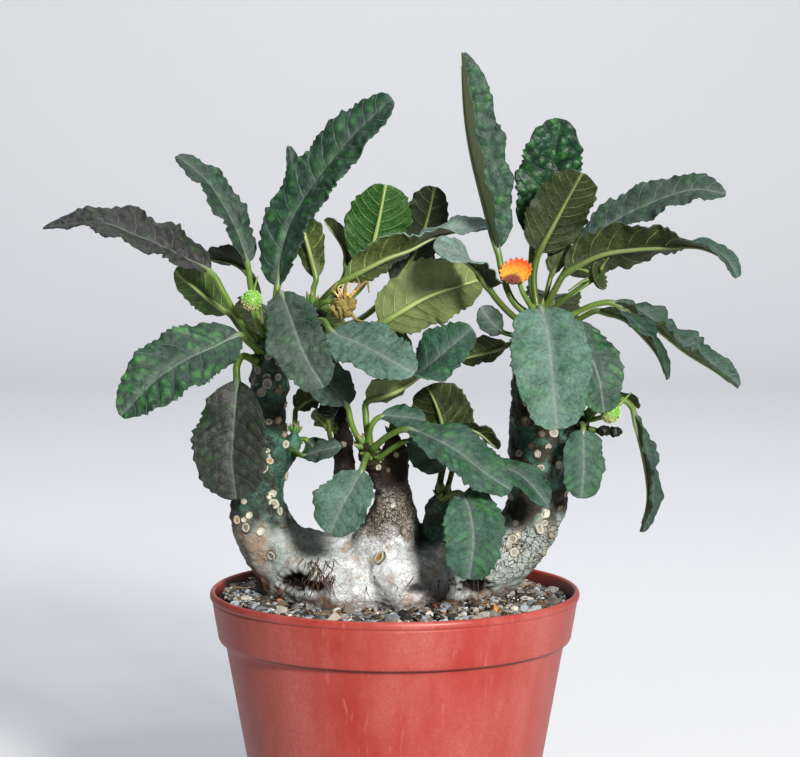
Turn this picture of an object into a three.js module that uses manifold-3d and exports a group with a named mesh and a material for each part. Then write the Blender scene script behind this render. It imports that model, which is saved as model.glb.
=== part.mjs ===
// Potted dorstenia foetida: a swollen caudex with three leafy stems in a 12 cm plastic grower's pot.
// Units are millimetres, +Z is up, +Y points away from the viewer and the origin is the middle of the
// pot's base. The plant's points are written as they measure on its front view: across, height and depth.

import * as THREE from "three";
import { mergeVertices } from "three/addons/utils/BufferGeometryUtils.js";
import Module from "manifold-3d";

const wasm = await Module();
wasm.setup();

// Driving dimensions of the pot
const POT_HEIGHT = 100;
const RIM_RADIUS = 60;
const BAND_FOOT_RADIUS = 57.3;
const BAND_HEIGHT = 15.5;
const SHOULDER_RADIUS = 54.8;
const SHOULDER_DROP = 3;
const BASE_RADIUS = 40.5;
const BASE_EDGE = 1.2;
const LIP_BEAD_DROP = 2.4;
const LIP_BEAD_PROUD = 0.6;
const POT_WALL = 1.6;
const FLOOR_THICKNESS = 2.4;
const POT_SIDES = 38;
const DRAIN_HOLES = 6;
const DRAIN_RADIUS = 4.5;
const DRAIN_CIRCLE = 27;

// Driving dimensions of the soil
const SOIL_TOP = 96;
const SOIL_RELIEF = 1.1;
const SOIL_RINGS = [14, 27, 39, 49];
const SOIL_SIDES = 30;

// Driving dimensions shared by the plant's pieces
const TOUCH_GAP = 0.45;
const BLADE_THICKNESS = 0.8;
const PETIOLE_RADIUS = 1.25;
const PETIOLE_STEPS = 4;
const TOOTH = 0.08;
const STEM_SIDES = 10;
const SCAR_HEIGHT = 0.7;
const GOLDEN_ANGLE = 137.5;

// The eye that looks at the front view
const EYE = new THREE.Vector3(1.7, -888.5, 258.7);
const EYE_PITCH = THREE.MathUtils.degToRad(5.8);

const COLOURS = {
  pot: "#b9504a",
  soil: "#6f675c",
  bark: "#b0ac9c",
  green: "#4f7a5c",
  olive: "#6e7f48",
  dark: "#3b5548",
  purple: "#565b62",
  flower: "#7aa34c",
  orange: "#d9743a",
  dry: "#a98a4a",
};

// A point given as across, height and depth on the front view, in space.
function fromFront([across, height, depth]) {
  const rise = height - POT_HEIGHT;
  const onPlane = new THREE.Vector3(
    across,
    rise * Math.sin(EYE_PITCH),
    POT_HEIGHT + rise * Math.cos(EYE_PITCH),
  );
  const sight = onPlane.sub(EYE);
  return sight.multiplyScalar((depth - EYE.y) / sight.y).add(EYE);
}

function splineThrough(points) {
  return new THREE.CatmullRomCurve3(points, false, "catmullrom", 0.5);
}

// Solids: closed shapes as manifold bodies and back

function toSolid(geometry) {
  const bare = geometry.clone();
  bare.deleteAttribute("normal");
  bare.deleteAttribute("uv");
  const merged = mergeVertices(bare, 1e-4);
  return new wasm.Manifold(
    new wasm.Mesh({
      numProp: 3,
      vertProperties: new Float32Array(merged.attributes.position.array),
      triVerts: new Uint32Array(merged.index.array),
    }),
  );
}

function toGeometry(solid) {
  const mesh = solid.getMesh();
  const geometry = new THREE.BufferGeometry();
  geometry.setAttribute("position", new THREE.BufferAttribute(mesh.vertProperties, 3));
  geometry.setIndex(new THREE.BufferAttribute(mesh.triVerts, 1));
  return geometry;
}

function joined(solids) {
  return solids.reduce((whole, solid) => whole.add(solid));
}

function geometryFrom(points, triangles) {
  const geometry = new THREE.BufferGeometry().setFromPoints(points);
  geometry.setIndex(triangles);
  return geometry;
}

// Triangles of a closed tube whose rings each have the same number of points.
function tubeTriangles(rings, sides) {
  const triangles = [];
  for (let i = 0; i + 1 < rings; i++) {
    for (let j = 0; j < sides; j++) {
      const a = i * sides + j;
      const b = i * sides + ((j + 1) % sides);
      triangles.push(a, b, b + sides, a, b + sides, a + sides);
    }
  }
  const last = (rings - 1) * sides;
  for (let j = 1; j + 1 < sides; j++) {
    triangles.push(0, j + 1, j, last, last + j, last + j + 1);
  }
  return triangles;
}

// Two directions square to a tangent, the first as near to the hint as it can be.
function crossFrame(tangent, hint) {
  const normal = hint.clone().addScaledVector(tangent, -hint.dot(tangent)).normalize();
  const across = new THREE.Vector3().crossVectors(tangent, normal);
  return { normal, across };
}

// A round tube along a curve: the radius at each of its stations may differ, and its end may be domed.
const DOME = [[0.7, 0.72], [0.96, 0.28]];

function tube(curve, radii, sides, { uneven = () => 1, domed = false } = {}) {
  const points = [];
  const last = radii.length - 1;
  const rings = radii.map((radius, i) => ({ u: i / last, ahead: 0, radius }));
  if (domed) {
    DOME.forEach(([ahead, share]) => {
      rings.push({ u: 1, ahead: ahead * radii[last], radius: share * radii[last] });
    });
  }
  rings.forEach(({ u, ahead, radius }, i) => {
    const tangent = curve.getTangentAt(u);
    const centre = curve.getPointAt(u).addScaledVector(tangent, ahead);
    const { normal, across } = crossFrame(tangent, new THREE.Vector3(0.31, -0.94, 0.12));
    for (let j = 0; j < sides; j++) {
      const angle = (-2 * Math.PI * j) / sides;
      const reach = radius * uneven(angle, i);
      points.push(
        centre
          .clone()
          .addScaledVector(normal, reach * Math.sin(angle))
          .addScaledVector(across, reach * Math.cos(angle)),
      );
    }
  });
  return geometryFrom(points, tubeTriangles(rings.length, sides));
}

// Pot

function lathe(profile, sides) {
  const points = profile.map(([radius, height]) => new THREE.Vector2(radius, height));
  const geometry = new THREE.LatheGeometry(points, sides);
  geometry.rotateX(Math.PI / 2);
  return geometry;
}

function potProfile() {
  const bandFoot = POT_HEIGHT - BAND_HEIGHT;
  const shoulder = bandFoot - SHOULDER_DROP;
  const beadTop = POT_HEIGHT - 1;
  const outside = [
    [0, 0],
    [BASE_RADIUS - BASE_EDGE, 0],
    [BASE_RADIUS, BASE_EDGE],
    [(BASE_RADIUS + SHOULDER_RADIUS) / 2, (BASE_EDGE + shoulder) / 2],
    [SHOULDER_RADIUS, shoulder],
    [BAND_FOOT_RADIUS - 0.5, bandFoot - 0.4],
    [BAND_FOOT_RADIUS, bandFoot + 0.6],
    [RIM_RADIUS - LIP_BEAD_PROUD, POT_HEIGHT - LIP_BEAD_DROP - 0.5],
    [RIM_RADIUS, POT_HEIGHT - LIP_BEAD_DROP],
    [RIM_RADIUS, beadTop],
    [RIM_RADIUS - 0.8, POT_HEIGHT],
  ];
  const inside = [
    [RIM_RADIUS - POT_WALL, POT_HEIGHT - 0.3],
    [BAND_FOOT_RADIUS - POT_WALL, bandFoot],
    [SHOULDER_RADIUS - POT_WALL, shoulder],
    [BASE_RADIUS - POT_WALL, FLOOR_THICKNESS],
    [0, FLOOR_THICKNESS],
  ];
  return [...outside, ...inside];
}

function potSolid() {
  let pot = toSolid(lathe(potProfile(), POT_SIDES));
  for (let i = 0; i < DRAIN_HOLES; i++) {
    const angle = (2 * Math.PI * i) / DRAIN_HOLES;
    const hole = new THREE.CylinderGeometry(DRAIN_RADIUS, DRAIN_RADIUS, 3 * FLOOR_THICKNESS, 8);
    hole.rotateX(Math.PI / 2);
    hole.translate(DRAIN_CIRCLE * Math.cos(angle), DRAIN_CIRCLE * Math.sin(angle), FLOOR_THICKNESS / 2);
    pot = pot.subtract(toSolid(hole));
  }
  return pot;
}

// Radius of the pot's inside at a height below its rim band
function potInside(height) {
  const shoulder = POT_HEIGHT - BAND_HEIGHT - SHOULDER_DROP;
  const share = (height - FLOOR_THICKNESS) / (shoulder - FLOOR_THICKNESS);
  return THREE.MathUtils.lerp(BASE_RADIUS, SHOULDER_RADIUS, share) - POT_WALL;
}

// Soil

function soilTop(radius, angle) {
  const mound = 1.3 * Math.cos(angle - 0.6) * Math.sin(radius / 17);
  return SOIL_TOP + mound + SOIL_RELIEF * Math.sin(3 * angle + radius / 6) * Math.cos(radius / 9 + 2 * angle);
}

function soilSolid() {
  const shoulder = POT_HEIGHT - BAND_HEIGHT - SHOULDER_DROP;
  const gap = TOUCH_GAP + 0.3;
  const bandShare = (SOIL_TOP - shoulder - SHOULDER_DROP) / BAND_HEIGHT;
  const topRadius = THREE.MathUtils.lerp(BAND_FOOT_RADIUS, RIM_RADIUS, bandShare) - POT_WALL - gap;
  const profile = [
    [0, FLOOR_THICKNESS + TOUCH_GAP],
    [potInside(FLOOR_THICKNESS) - 1, FLOOR_THICKNESS + TOUCH_GAP],
    [potInside(shoulder) - gap, shoulder],
    [BAND_FOOT_RADIUS - POT_WALL - gap, shoulder + SHOULDER_DROP],
    [topRadius, SOIL_TOP - 1],
    ...SOIL_RINGS.slice().reverse().map((radius) => [radius, SOIL_TOP]),
    [0, SOIL_TOP],
  ];
  const geometry = lathe(profile, SOIL_SIDES);
  const spot = geometry.attributes.position;
  for (let i = 0; i < spot.count; i++) {
    const radius = Math.hypot(spot.getX(i), spot.getY(i));
    if (spot.getZ(i) > SOIL_TOP - 0.5 && radius > 1) {
      spot.setZ(i, soilTop(radius, Math.atan2(spot.getY(i), spot.getX(i))));
    }
  }
  return toSolid(geometry).subtract(bodySolid(TOUCH_GAP));
}

// Woody body: swollen caudex, arms, neck, stems and side shoots grown together.
// Each limb lists its points as across, height, depth and radius.

const LIMBS = {
  leftArm: [
    [-18, 104, 0, 12],
    [-34, 109.5, 0, 11.4],
    [-42.5, 118.5, -1, 10],
    [-44.3, 126, -1, 9.2],
    [-42.8, 134, -1, 7.2],
    [-40.6, 142, -1, 6.4],
    [-41.4, 154.6, -1, 5.8],
    [-40.6, 166, -1, 6.2],
    [-41, 175, -1, 5.6],
    [-41.5, 181, -1, 3.4],
  ],
  rightArm: [
    [-6, 104, 0, 11],
    [6, 104.5, 0, 12],
    [18, 105, 0, 12],
    [31.5, 108.5, 2, 11.4],
    [41.6, 116.8, 4, 10],
    [45.8, 127.4, 5, 9.6],
    [46.4, 138, 5, 9.2],
    [46.2, 148, 5, 8.9],
    [45.8, 160, 5, 8],
    [46, 171, 5, 6.8],
    [46.8, 181, 5, 5.6],
    [47.1, 188, 5, 3.4],
  ],
  neck: [
    [-4, 106, -3, 14],
    [-1.5, 117, -6, 10.5],
    [-0.6, 127, -8, 6.6],
    [-0.5, 135, -9, 5.2],
    [-0.3, 143, -9, 4.7],
    [-0.4, 148.5, -9, 2.6],
  ],
  neckTip: [
    [-2.4, 134, -9, 4.2],
    [-5.6, 140, -12, 4],
    [-8, 143.4, -14, 4],
    [-8.8, 145, -14.6, 3.4],
  ],
  rear: [
    [-11, 112, 4, 9],
    [-15, 124, 11, 5.4],
    [-16.4, 138, 15, 3.6],
    [-17, 151, 17, 3.1],
    [-19.4, 165, 18, 3.1],
    [-23.2, 179, 18, 3.8],
    [-25.6, 186, 18, 4.2],
    [-26.6, 190.5, 18, 2.6],
  ],
  footShoot: [
    [14, 112, -5, 7],
    [13.6, 120, -12, 4.6],
    [14.4, 126, -18, 3.8],
    [15, 129.5, -21, 2.2],
  ],
  sideShoot: [
    [49, 141, 5, 4.5],
    [56, 146, 4, 4],
    [60, 151.5, 4, 3.4],
    [61.2, 154.4, 4, 2],
  ],
  innerShoot: [
    [-40, 138, 0, 4],
    [-36, 142, 4, 3.4],
    [-33.4, 147, 6, 3],
    [-32.6, 150, 6.4, 1.8],
  ],
};
const SWELLINGS = [
  { at: [-15, 103.5, 1], radii: [29, 21, 14.5] },
  { at: [3, 103, -9], radii: [15, 13, 12.5] },
];

function barkUnevenness(seed) {
  return (angle, i) => 1 + 0.045 * Math.sin(3 * angle + 1.7 * i + seed) + 0.03 * Math.sin(5 * angle - i);
}

function limbSolid(points, grow, seed) {
  const curve = splineThrough(points.map(fromFront));
  const stations = Math.round(points.length * 1.35);
  const radii = [];
  for (let i = 0; i < stations; i++) {
    const t = curve.getUtoTmapping(i / (stations - 1)) * (points.length - 1);
    const k = Math.min(Math.floor(t), points.length - 2);
    radii.push(THREE.MathUtils.lerp(points[k][3], points[k + 1][3], t - k) + grow);
  }
  return toSolid(tube(curve, radii, STEM_SIDES, { uneven: barkUnevenness(seed), domed: true }));
}

function swellingSolid({ at, radii }, grow) {
  const geometry = new THREE.SphereGeometry(1, 14, 9);
  geometry.rotateX(Math.PI / 2);
  const spot = geometry.attributes.position;
  const place = new THREE.Vector3();
  for (let i = 0; i < spot.count; i++) {
    place.fromBufferAttribute(spot, i);
    const lump = 1 + 0.05 * Math.sin(5 * place.x + 2 * place.z) * Math.cos(4 * place.y);
    spot.setXYZ(
      i,
      place.x * (radii[0] * lump + grow),
      place.y * (radii[1] * lump + grow),
      place.z * (radii[2] * lump + grow),
    );
  }
  const middle = fromFront(at);
  geometry.translate(middle.x, middle.y, middle.z);
  return toSolid(geometry);
}

function bodySolid(grow) {
  const limbs = Object.values(LIMBS).map((points, seed) => limbSolid(points, grow, seed));
  const swellings = SWELLINGS.map((swelling) => swellingSolid(swelling, grow));
  return joined([...limbs, ...swellings]);
}

// Leaf scars wind up each stem by the golden angle, from one share of its length to another.
const SCARRED = [
  { limb: "leftArm", from: 0.34, to: 0.96, count: 15, radius: 1.6 },
  { limb: "rightArm", from: 0.36, to: 0.95, count: 15, radius: 1.7 },
  { limb: "neck", from: 0.6, to: 0.85, count: 3, radius: 1.2 },
  { limb: "rear", from: 0.5, to: 0.93, count: 6, radius: 1.2 },
];

function scarSolid(centre, outward, radius) {
  const geometry = new THREE.CylinderGeometry(0.85 * radius, radius, 2 * SCAR_HEIGHT, 5);
  const turn = new THREE.Quaternion().setFromUnitVectors(new THREE.Vector3(0, 1, 0), outward);
  geometry.applyQuaternion(turn);
  geometry.translate(centre.x, centre.y, centre.z);
  return toSolid(geometry);
}

function scarSolids(roots) {
  const scars = [];
  for (const { limb, from, to, count, radius } of SCARRED) {
    const points = LIMBS[limb];
    const curve = splineThrough(points.map(fromFront));
    for (let i = 0; i < count; i++) {
      const u = from + ((to - from) * i) / count;
      const t = curve.getUtoTmapping(u) * (points.length - 1);
      const k = Math.floor(t);
      const stemRadius = THREE.MathUtils.lerp(points[k][3], points[k + 1][3], t - k);
      const { normal, across } = crossFrame(curve.getTangentAt(u), new THREE.Vector3(0, -1, 0));
      const angle = THREE.MathUtils.degToRad(GOLDEN_ANGLE * i);
      const outward = normal.multiplyScalar(Math.cos(angle)).addScaledVector(across, Math.sin(angle));
      const centre = curve.getPointAt(u).addScaledVector(outward, stemRadius - 0.1);
      if (roots.every((root) => root.distanceTo(centre) > radius + 2 * PETIOLE_RADIUS)) {
        scars.push(scarSolid(centre, outward, radius));
      }
    }
  }
  return scars;
}

const BODY = bodySolid(0);
const BARK = new THREE.Mesh(toGeometry(BODY), new THREE.MeshBasicMaterial({ side: THREE.DoubleSide }));

function caudexSolid(roots) {
  return joined([BODY, ...scarSolids(roots)]);
}

// Leaves. A leaf's midrib runs through its stalk points and then its blade points. The face is the
// direction that the upper side looks in, at the base of the blade and, if it twists, at the tip.
// Fold is the angle by which each half rises from flat, ripple the height of the waved edge.

const LONG = { rise: 0.7, fall: 0.5 };
const BROAD = { rise: 0.58, fall: 0.5 };
const ROUND = { rise: 0.42, fall: 0.45 };
const EVEN = { rise: 0.55, fall: 0.62 };
const STRAP = { rise: 0.42, fall: 0.44 };
const POINTED = { rise: 0.6, fall: 0.85 };

const LEAVES = [
  // Left crown
  {
    name: "leaf_left_reach", limb: "leftArm", colour: "purple", width: 20.5, fold: 14, ripple: 1.1,
    form: POINTED, face: [0.1, -0.42, 0.9],
    stalk: [[-46.4, 180.6, -2.6], [-51.4, 188.4, -1], [-55.6, 195.6, 2]],
    blade: [[-60.4, 203, 4], [-72.6, 209.6, 8], [-84, 214.6, 11], [-97, 219, 14], [-114.7, 217.2, 18]],
  },
  {
    name: "leaf_left_upper", limb: "leftArm", colour: "green", width: 15, fold: 14, ripple: 1, form: STRAP,
    face: [0.62, -0.5, 0.52],
    stalk: [[-43, 185, 0], [-45.2, 190, 4.6], [-47, 198.5, 10]],
    blade: [[-48, 206, 14], [-51.4, 215.8, 17], [-55.6, 224, 19], [-61.4, 232.4, 21], [-71, 240.6, 24]],
  },
  {
    name: "leaf_left_top", limb: "leftArm", colour: "green", width: 20, fold: 12, ripple: 1.1, form: STRAP,
    face: [-0.5, -0.75, 0.4],
    stalk: [[-39.6, 185, 0.6], [-39.2, 190.6, 5]],
    blade: [[-38.2, 198.5, 9], [-37.2, 208.4, 11], [-33.4, 220, 12], [-26.6, 231, 12], [-15, 245.6, 10],
      [-0.6, 259.4, 6]],
  },
  {
    name: "leaf_left_olive", limb: "leftArm", colour: "olive", width: 15, fold: 10, ripple: 0.8,
    form: BROAD, face: [0.3, 0.85, 0.4],
    stalk: [[-46, 178, 2.6], [-50.4, 184.6, 7.4]],
    blade: [[-54.3, 189.7, 11], [-62.5, 196, 14], [-71.5, 203.4, 17]],
  },
  {
    name: "leaf_left_arch", limb: "leftArm", colour: "dark", width: 14, fold: 12, ripple: 0.8, form: LONG,
    face: [0.2, 0.5, 0.85],
    stalk: [[-42.4, 181.6, 5], [-43.6, 190, 14], [-44.6, 197, 19]],
    blade: [[-46.4, 201.4, 22], [-50, 205, 25], [-55, 206.8, 28], [-61, 207.3, 30]],
  },
  {
    name: "leaf_left_low", limb: "leftArm", colour: "green", width: 22.5, fold: 10, ripple: 1.1, form: EVEN,
    face: [-0.2, -0.85, 0.5],
    stalk: [[-45, 177, -6], [-47.6, 180, -10]],
    blade: [[-50.6, 182.2, -13], [-59, 178.4, -19], [-67.6, 174.4, -24], [-78.6, 167, -30],
      [-89.2, 155.6, -33]],
  },
  {
    name: "leaf_left_hanging", limb: "leftArm", colour: "purple", width: 24.5, fold: 10, ripple: 1.1,
    form: BROAD, face: [-0.3, -0.93, 0.15],
    stalk: [[-46, 173.5, -5], [-49.4, 175.4, -9], [-51.4, 172, -12]],
    blade: [[-51.4, 167.3, -13], [-52.2, 155.3, -15], [-53, 141.6, -16], [-51.4, 128.6, -15]],
  },
  {
    name: "leaf_left_front", limb: "leftArm", colour: "purple", width: 17.5, fold: 9, ripple: 0.9,
    form: BROAD, face: [-0.15, -0.5, 0.85], tipFace: [-0.15, -0.95, 0.3],
    stalk: [[-40.6, 179.4, -6], [-40.8, 187, -13], [-38.3, 194, -19]],
    blade: [[-37, 195.8, -23], [-33.6, 187, -31], [-30.6, 178.6, -35], [-26.4, 170.5, -37],
      [-22.8, 165, -38]],
  },
  {
    name: "leaf_left_back", limb: "leftArm", colour: "green", width: 18, fold: 12, ripple: 0.9, form: LONG,
    face: [0, 0.2, 0.95], tipFace: [0, 0.75, 0.6],
    stalk: [[-40, 175.6, 5], [-39, 181, 14], [-39.4, 186.4, 21]],
    blade: [[-41, 190, 27], [-42, 192, 38], [-43, 190, 52], [-44, 183, 66]],
  },
  // Rear crown
  {
    name: "leaf_rear_tall", limb: "rear", colour: "olive", width: 12.5, fold: 12, ripple: 0.8, form: EVEN,
    face: [0.1, 0.95, 0.2],
    stalk: [[-27, 195, 19.4], [-26.4, 197.4, 22]],
    blade: [[-25.6, 201, 24.5], [-27.3, 209, 27], [-29.9, 219.5, 29], [-32.6, 231, 30], [-34.6, 244, 30]],
  },
  {
    name: "leaf_rear_thin", limb: "rear", colour: "dark", width: 11, fold: 18, ripple: 0.7, form: LONG,
    face: [0.9, 0.3, 0.3],
    stalk: [[-25, 189.8, 22.6], [-19.6, 195.4, 31]],
    blade: [[-15.6, 204, 36], [-16.2, 211, 39], [-22.8, 219.9, 41]],
  },
  {
    name: "leaf_rear_long", limb: "rear", colour: "olive", width: 16.5, fold: 14, ripple: 1, form: BROAD,
    face: [0.1, 0.92, 0.36], tipFace: [0.1, 0.1, 0.95],
    stalk: [[-24, 193.4, 15.4], [-20.6, 196.8, 13.8]],
    blade: [[-16.3, 200.1, 14], [-3.3, 207.3, 15], [4.6, 210.4, 16], [14.6, 215.2, 18], [31, 218, 20]],
  },
  {
    name: "leaf_rear_round", limb: "rear", colour: "green", width: 21, fold: 9, ripple: 0.8, form: ROUND,
    face: [0.05, 0.98, 0.15],
    stalk: [[-22.4, 190, 20], [-16.3, 193, 25], [-10.6, 198.5, 28]],
    blade: [[-8.4, 204, 29], [-6.8, 212.1, 29], [-4.9, 220.9, 28], [-2.9, 231.3, 26]],
  },
  {
    name: "leaf_rear_erect", limb: "rear", colour: "dark", width: 16.5, fold: 10, ripple: 0.8, form: BROAD,
    face: [-0.2, 0.95, 0.2],
    stalk: [[-21.6, 184.4, 21.6], [-12, 187, 30], [-4, 193.4, 35]],
    blade: [[-0.6, 199, 36], [5.4, 207.6, 37], [9.8, 218, 37], [13, 230.7, 35]],
  },
  {
    name: "leaf_rear_olive", limb: "rear", colour: "olive", width: 22.5, fold: 9, ripple: 0.9, form: ROUND,
    face: [-0.1, 0.92, 0.35],
    stalk: [[-21.6, 182, 14.6], [-16.3, 182.6, 7], [-9.4, 184, 3]],
    blade: [[-4.6, 186.2, 1], [1.6, 190, 0], [12, 195.6, 0], [28.6, 200.8, 2]],
  },
  {
    name: "leaf_rear_small", limb: "rear", colour: "dark", width: 10, fold: 10, ripple: 0.6, form: BROAD,
    face: [0.1, 0.8, 0.6],
    stalk: [[-19, 178.4, 20], [-14.6, 181.6, 20.8]],
    blade: [[-9.8, 182, 20], [-2, 180.6, 20], [5.5, 177.6, 20]],
  },
  {
    name: "leaf_rear_front", limb: "rear", colour: "purple", width: 18.5, fold: 9, ripple: 1, form: ROUND,
    face: [0.1, -0.8, 0.6],
    stalk: [[-25.6, 184.6, 12], [-25, 186.8, 4], [-22.8, 186.6, -4]],
    blade: [[-20.4, 183.2, -11], [-14, 180.4, -18], [-8, 177.6, -23], [-0.8, 173.6, -29],
      [6.4, 169.4, -32]],
  },
  {
    name: "leaf_rear_back", limb: "rear", colour: "green", width: 17, fold: 12, ripple: 0.8, form: LONG,
    face: [0, 0.2, 0.95], tipFace: [0.2, 0.8, 0.5],
    stalk: [[-26.5, 184.6, 24], [-27.5, 188.4, 32]],
    blade: [[-28, 190, 39], [-27, 189, 50], [-24, 184, 62], [-20, 175, 72]],
  },
  // Low inner leaves
  {
    name: "leaf_inner_brown", limb: "innerShoot", colour: "olive", width: 9, fold: 8, ripple: 0.6,
    form: BROAD, face: [0.2, 0.75, 0.6],
    stalk: [[-32.4, 153, 8], [-32.4, 155.8, 10]],
    blade: [[-32, 158.2, 11.5], [-29, 160.8, 11.5], [-25, 162.6, 11]],
  },
  {
    name: "leaf_inner_pale", limb: "rear", colour: "olive", width: 8, fold: 8, ripple: 0.5, form: BROAD,
    face: [0.1, 0.7, 0.7],
    stalk: [[-20.8, 151.6, 13], [-21.2, 151.4, 10.4]],
    blade: [[-21.6, 151.8, 8.6], [-23.4, 154.6, 7.2], [-26.4, 157.8, 7]],
  },
  {
    name: "leaf_inner_green", limb: "innerShoot", colour: "green", width: 9.5, fold: 8, ripple: 0.5,
    form: BROAD, face: [0.1, -0.6, 0.8],
    stalk: [[-30, 148, 9], [-29.8, 148.4, 10]],
    blade: [[-28.6, 148, 10.4], [-26.6, 145.4, 10.4], [-24.6, 141.4, 9]],
  },
  {
    name: "leaf_inner_grey", limb: "innerShoot", colour: "purple", width: 7.5, fold: 8, ripple: 0.5,
    form: BROAD, face: [0.1, -0.7, 0.7],
    stalk: [[-32.6, 144.6, 1], [-31.4, 143.6, -2]],
    blade: [[-29.4, 143, -5], [-24, 144.4, -8], [-17.4, 146, -10]],
  },
  // Neck crown
  {
    name: "leaf_neck_left", limb: "neckTip", colour: "purple", width: 14, fold: 8, ripple: 0.8, form: ROUND,
    face: [0.2, -0.85, 0.4],
    stalk: [[-12, 147.4, -14], [-14, 153.2, -10.4]],
    blade: [[-15.6, 159.4, -8], [-19.6, 164.4, -6.5], [-24.6, 168.8, -6], [-29.6, 171.6, -6]],
  },
  {
    name: "leaf_neck_bright", limb: "neckTip", colour: "green", width: 19, fold: 12, ripple: 1, form: ROUND,
    face: [0.5, 0.5, 0.75], tipFace: [-0.1, -0.9, 0.4],
    stalk: [[-8.2, 150, -11.4], [-9.4, 156, -9.5]],
    blade: [[-8.6, 161, -8.5], [0.6, 164.8, -9], [8, 169.8, -10], [15.4, 176, -11], [25.4, 184.5, -13]],
  },
  {
    name: "leaf_neck_short", limb: "neckTip", colour: "green", width: 9, fold: 9, ripple: 0.6, form: BROAD,
    face: [0, -0.7, 0.7],
    stalk: [[-8.4, 149.6, -17.4], [-7.4, 153, -19]],
    blade: [[-4.2, 155.8, -19], [2.6, 155.4, -20], [10.1, 154.4, -20]],
  },
  {
    name: "leaf_neck_right", limb: "neckTip", colour: "green", width: 17, fold: 9, ripple: 0.9, form: BROAD,
    face: [0.3, -0.7, 0.65],
    stalk: [[-6.2, 145.6, -19], [-1.8, 149.6, -24]],
    blade: [[4.6, 151.6, -29], [13, 148.4, -33], [20.8, 144, -35], [29, 137.4, -37], [38, 131.4, -37]],
  },
  {
    name: "leaf_neck_under", limb: "neckTip", colour: "purple", width: 11, fold: 8, ripple: 0.6,
    form: BROAD, face: [0.1, -0.9, 0.35],
    stalk: [[-4.6, 141.6, -18], [-0.4, 145.6, -21.6]],
    blade: [[4, 147.6, -23.5], [9.4, 144.6, -25], [16.6, 139, -25]],
  },
  {
    name: "leaf_neck_front", limb: "neckTip", colour: "green", width: 17.5, fold: 9, ripple: 0.9,
    form: BROAD, face: [-0.3, -0.9, 0.3],
    stalk: [[-9.4, 142.4, -18.5], [-10, 140.6, -23]],
    blade: [[-10.9, 138, -26.5], [-14, 132, -30], [-17.6, 125.6, -32], [-21.1, 117.2, -32]],
  },
  // Low shoot in front of the right arm
  {
    name: "leaf_foot_dark", limb: "footShoot", colour: "dark", width: 20, fold: 8, ripple: 0.9, form: ROUND,
    face: [0.3, 0.93, 0.2],
    stalk: [[14, 131.6, -20], [15.4, 138, -16], [16.4, 142.4, -12]],
    blade: [[16.8, 146, -9], [15.8, 153, -6], [13.6, 159.8, -4], [10.6, 165.8, -4]],
  },
  {
    name: "leaf_foot_narrow", limb: "footShoot", colour: "dark", width: 9, fold: 12, ripple: 0.6,
    form: LONG, face: [0.2, 0.4, 0.9],
    stalk: [[17, 130.6, -19], [19, 140, -17], [19.4, 148.6, -16]],
    blade: [[20.6, 152.4, -15], [27, 151.2, -14], [34, 145.2, -14]],
  },
  {
    name: "leaf_foot_right", limb: "footShoot", colour: "green", width: 12, fold: 10, ripple: 0.6,
    form: BROAD, face: [0.5, -0.6, 0.6],
    stalk: [[18, 127.6, -20], [22.6, 130, -18.5], [27.4, 134.6, -18]],
    blade: [[31.6, 138.8, -18.4], [38, 138, -20], [43.6, 134, -21.6], [49.7, 126.6, -23]],
  },
  {
    name: "leaf_foot_front", limb: "footShoot", colour: "green", width: 18, fold: 9, ripple: 0.8,
    form: ROUND, face: [0, -0.8, 0.6], tipFace: [0, -0.97, 0.2],
    stalk: [[16, 128.6, -25], [19, 130.6, -30]],
    blade: [[21.6, 130.4, -34], [24.2, 125.6, -38], [25.6, 115.3, -40.5], [24, 102.6, -40.5]],
  },
  // Right crown
  {
    name: "leaf_right_front", limb: "rightArm", colour: "green", width: 26, fold: 8, ripple: 0.8,
    form: ROUND, face: [0, -0.5, 0.85], tipFace: [0.05, -0.97, 0.25],
    stalk: [[46.6, 187, -1.5], [46.9, 190.2, -7]],
    blade: [[47.6, 190.6, -14], [49.8, 182.4, -24], [51, 171.4, -30], [51.8, 161.4, -33], [53, 151.2, -34]],
  },
  {
    name: "leaf_right_second", limb: "rightArm", colour: "green", width: 16.5, fold: 9, ripple: 0.8,
    form: BROAD, face: [0.2, -0.9, 0.35],
    stalk: [[50.6, 184, 0], [54.6, 186.6, -4]],
    blade: [[58.4, 186.2, -7.5], [63.2, 176.6, -12], [66.6, 167, -14.5], [68, 156.8, -15]],
  },
  {
    name: "leaf_right_serrate", limb: "rightArm", colour: "green", width: 16.5, fold: 20, ripple: 1.3,
    form: LONG, face: [0.5, -0.35, 0.8],
    stalk: [[53, 185, 7.5], [58, 189, 8], [64.6, 192, 7.6]],
    blade: [[71, 192.8, 7], [79, 190, 6.5], [87.8, 183, 6], [95.4, 176.8, 5], [104.4, 171, 3.4],
      [112, 165, 2]],
  },
  {
    name: "leaf_right_low", limb: "rightArm", colour: "green", width: 14, fold: 14, ripple: 1.1, form: EVEN,
    face: [0.6, -0.2, 0.8],
    stalk: [[52.4, 180.6, 2], [57, 185, 0], [62, 188.6, -3]],
    blade: [[67, 190.2, -6], [75, 188, -9], [81.6, 181.8, -11], [86.4, 175.2, -12], [88.9, 167.6, -12.5]],
  },
  {
    name: "leaf_right_arch", limb: "rightArm", colour: "olive", width: 20, fold: 10, ripple: 1, form: ROUND,
    face: [0, 0.9, 0.45], tipFace: [0.5, 0.3, 0.8],
    stalk: [[49, 191, 3.5], [52.4, 197.6, 3.5]],
    blade: [[56, 202.7, 4], [66.6, 208.6, 4], [78, 210.6, 3], [88.7, 211.2, 1], [99.1, 211.2, -1],
      [107.2, 207.4, -3], [111.6, 200.6, -4]],
  },
  {
    name: "leaf_right_upper", limb: "rightArm", colour: "green", width: 16.5, fold: 12, ripple: 0.9,
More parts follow.
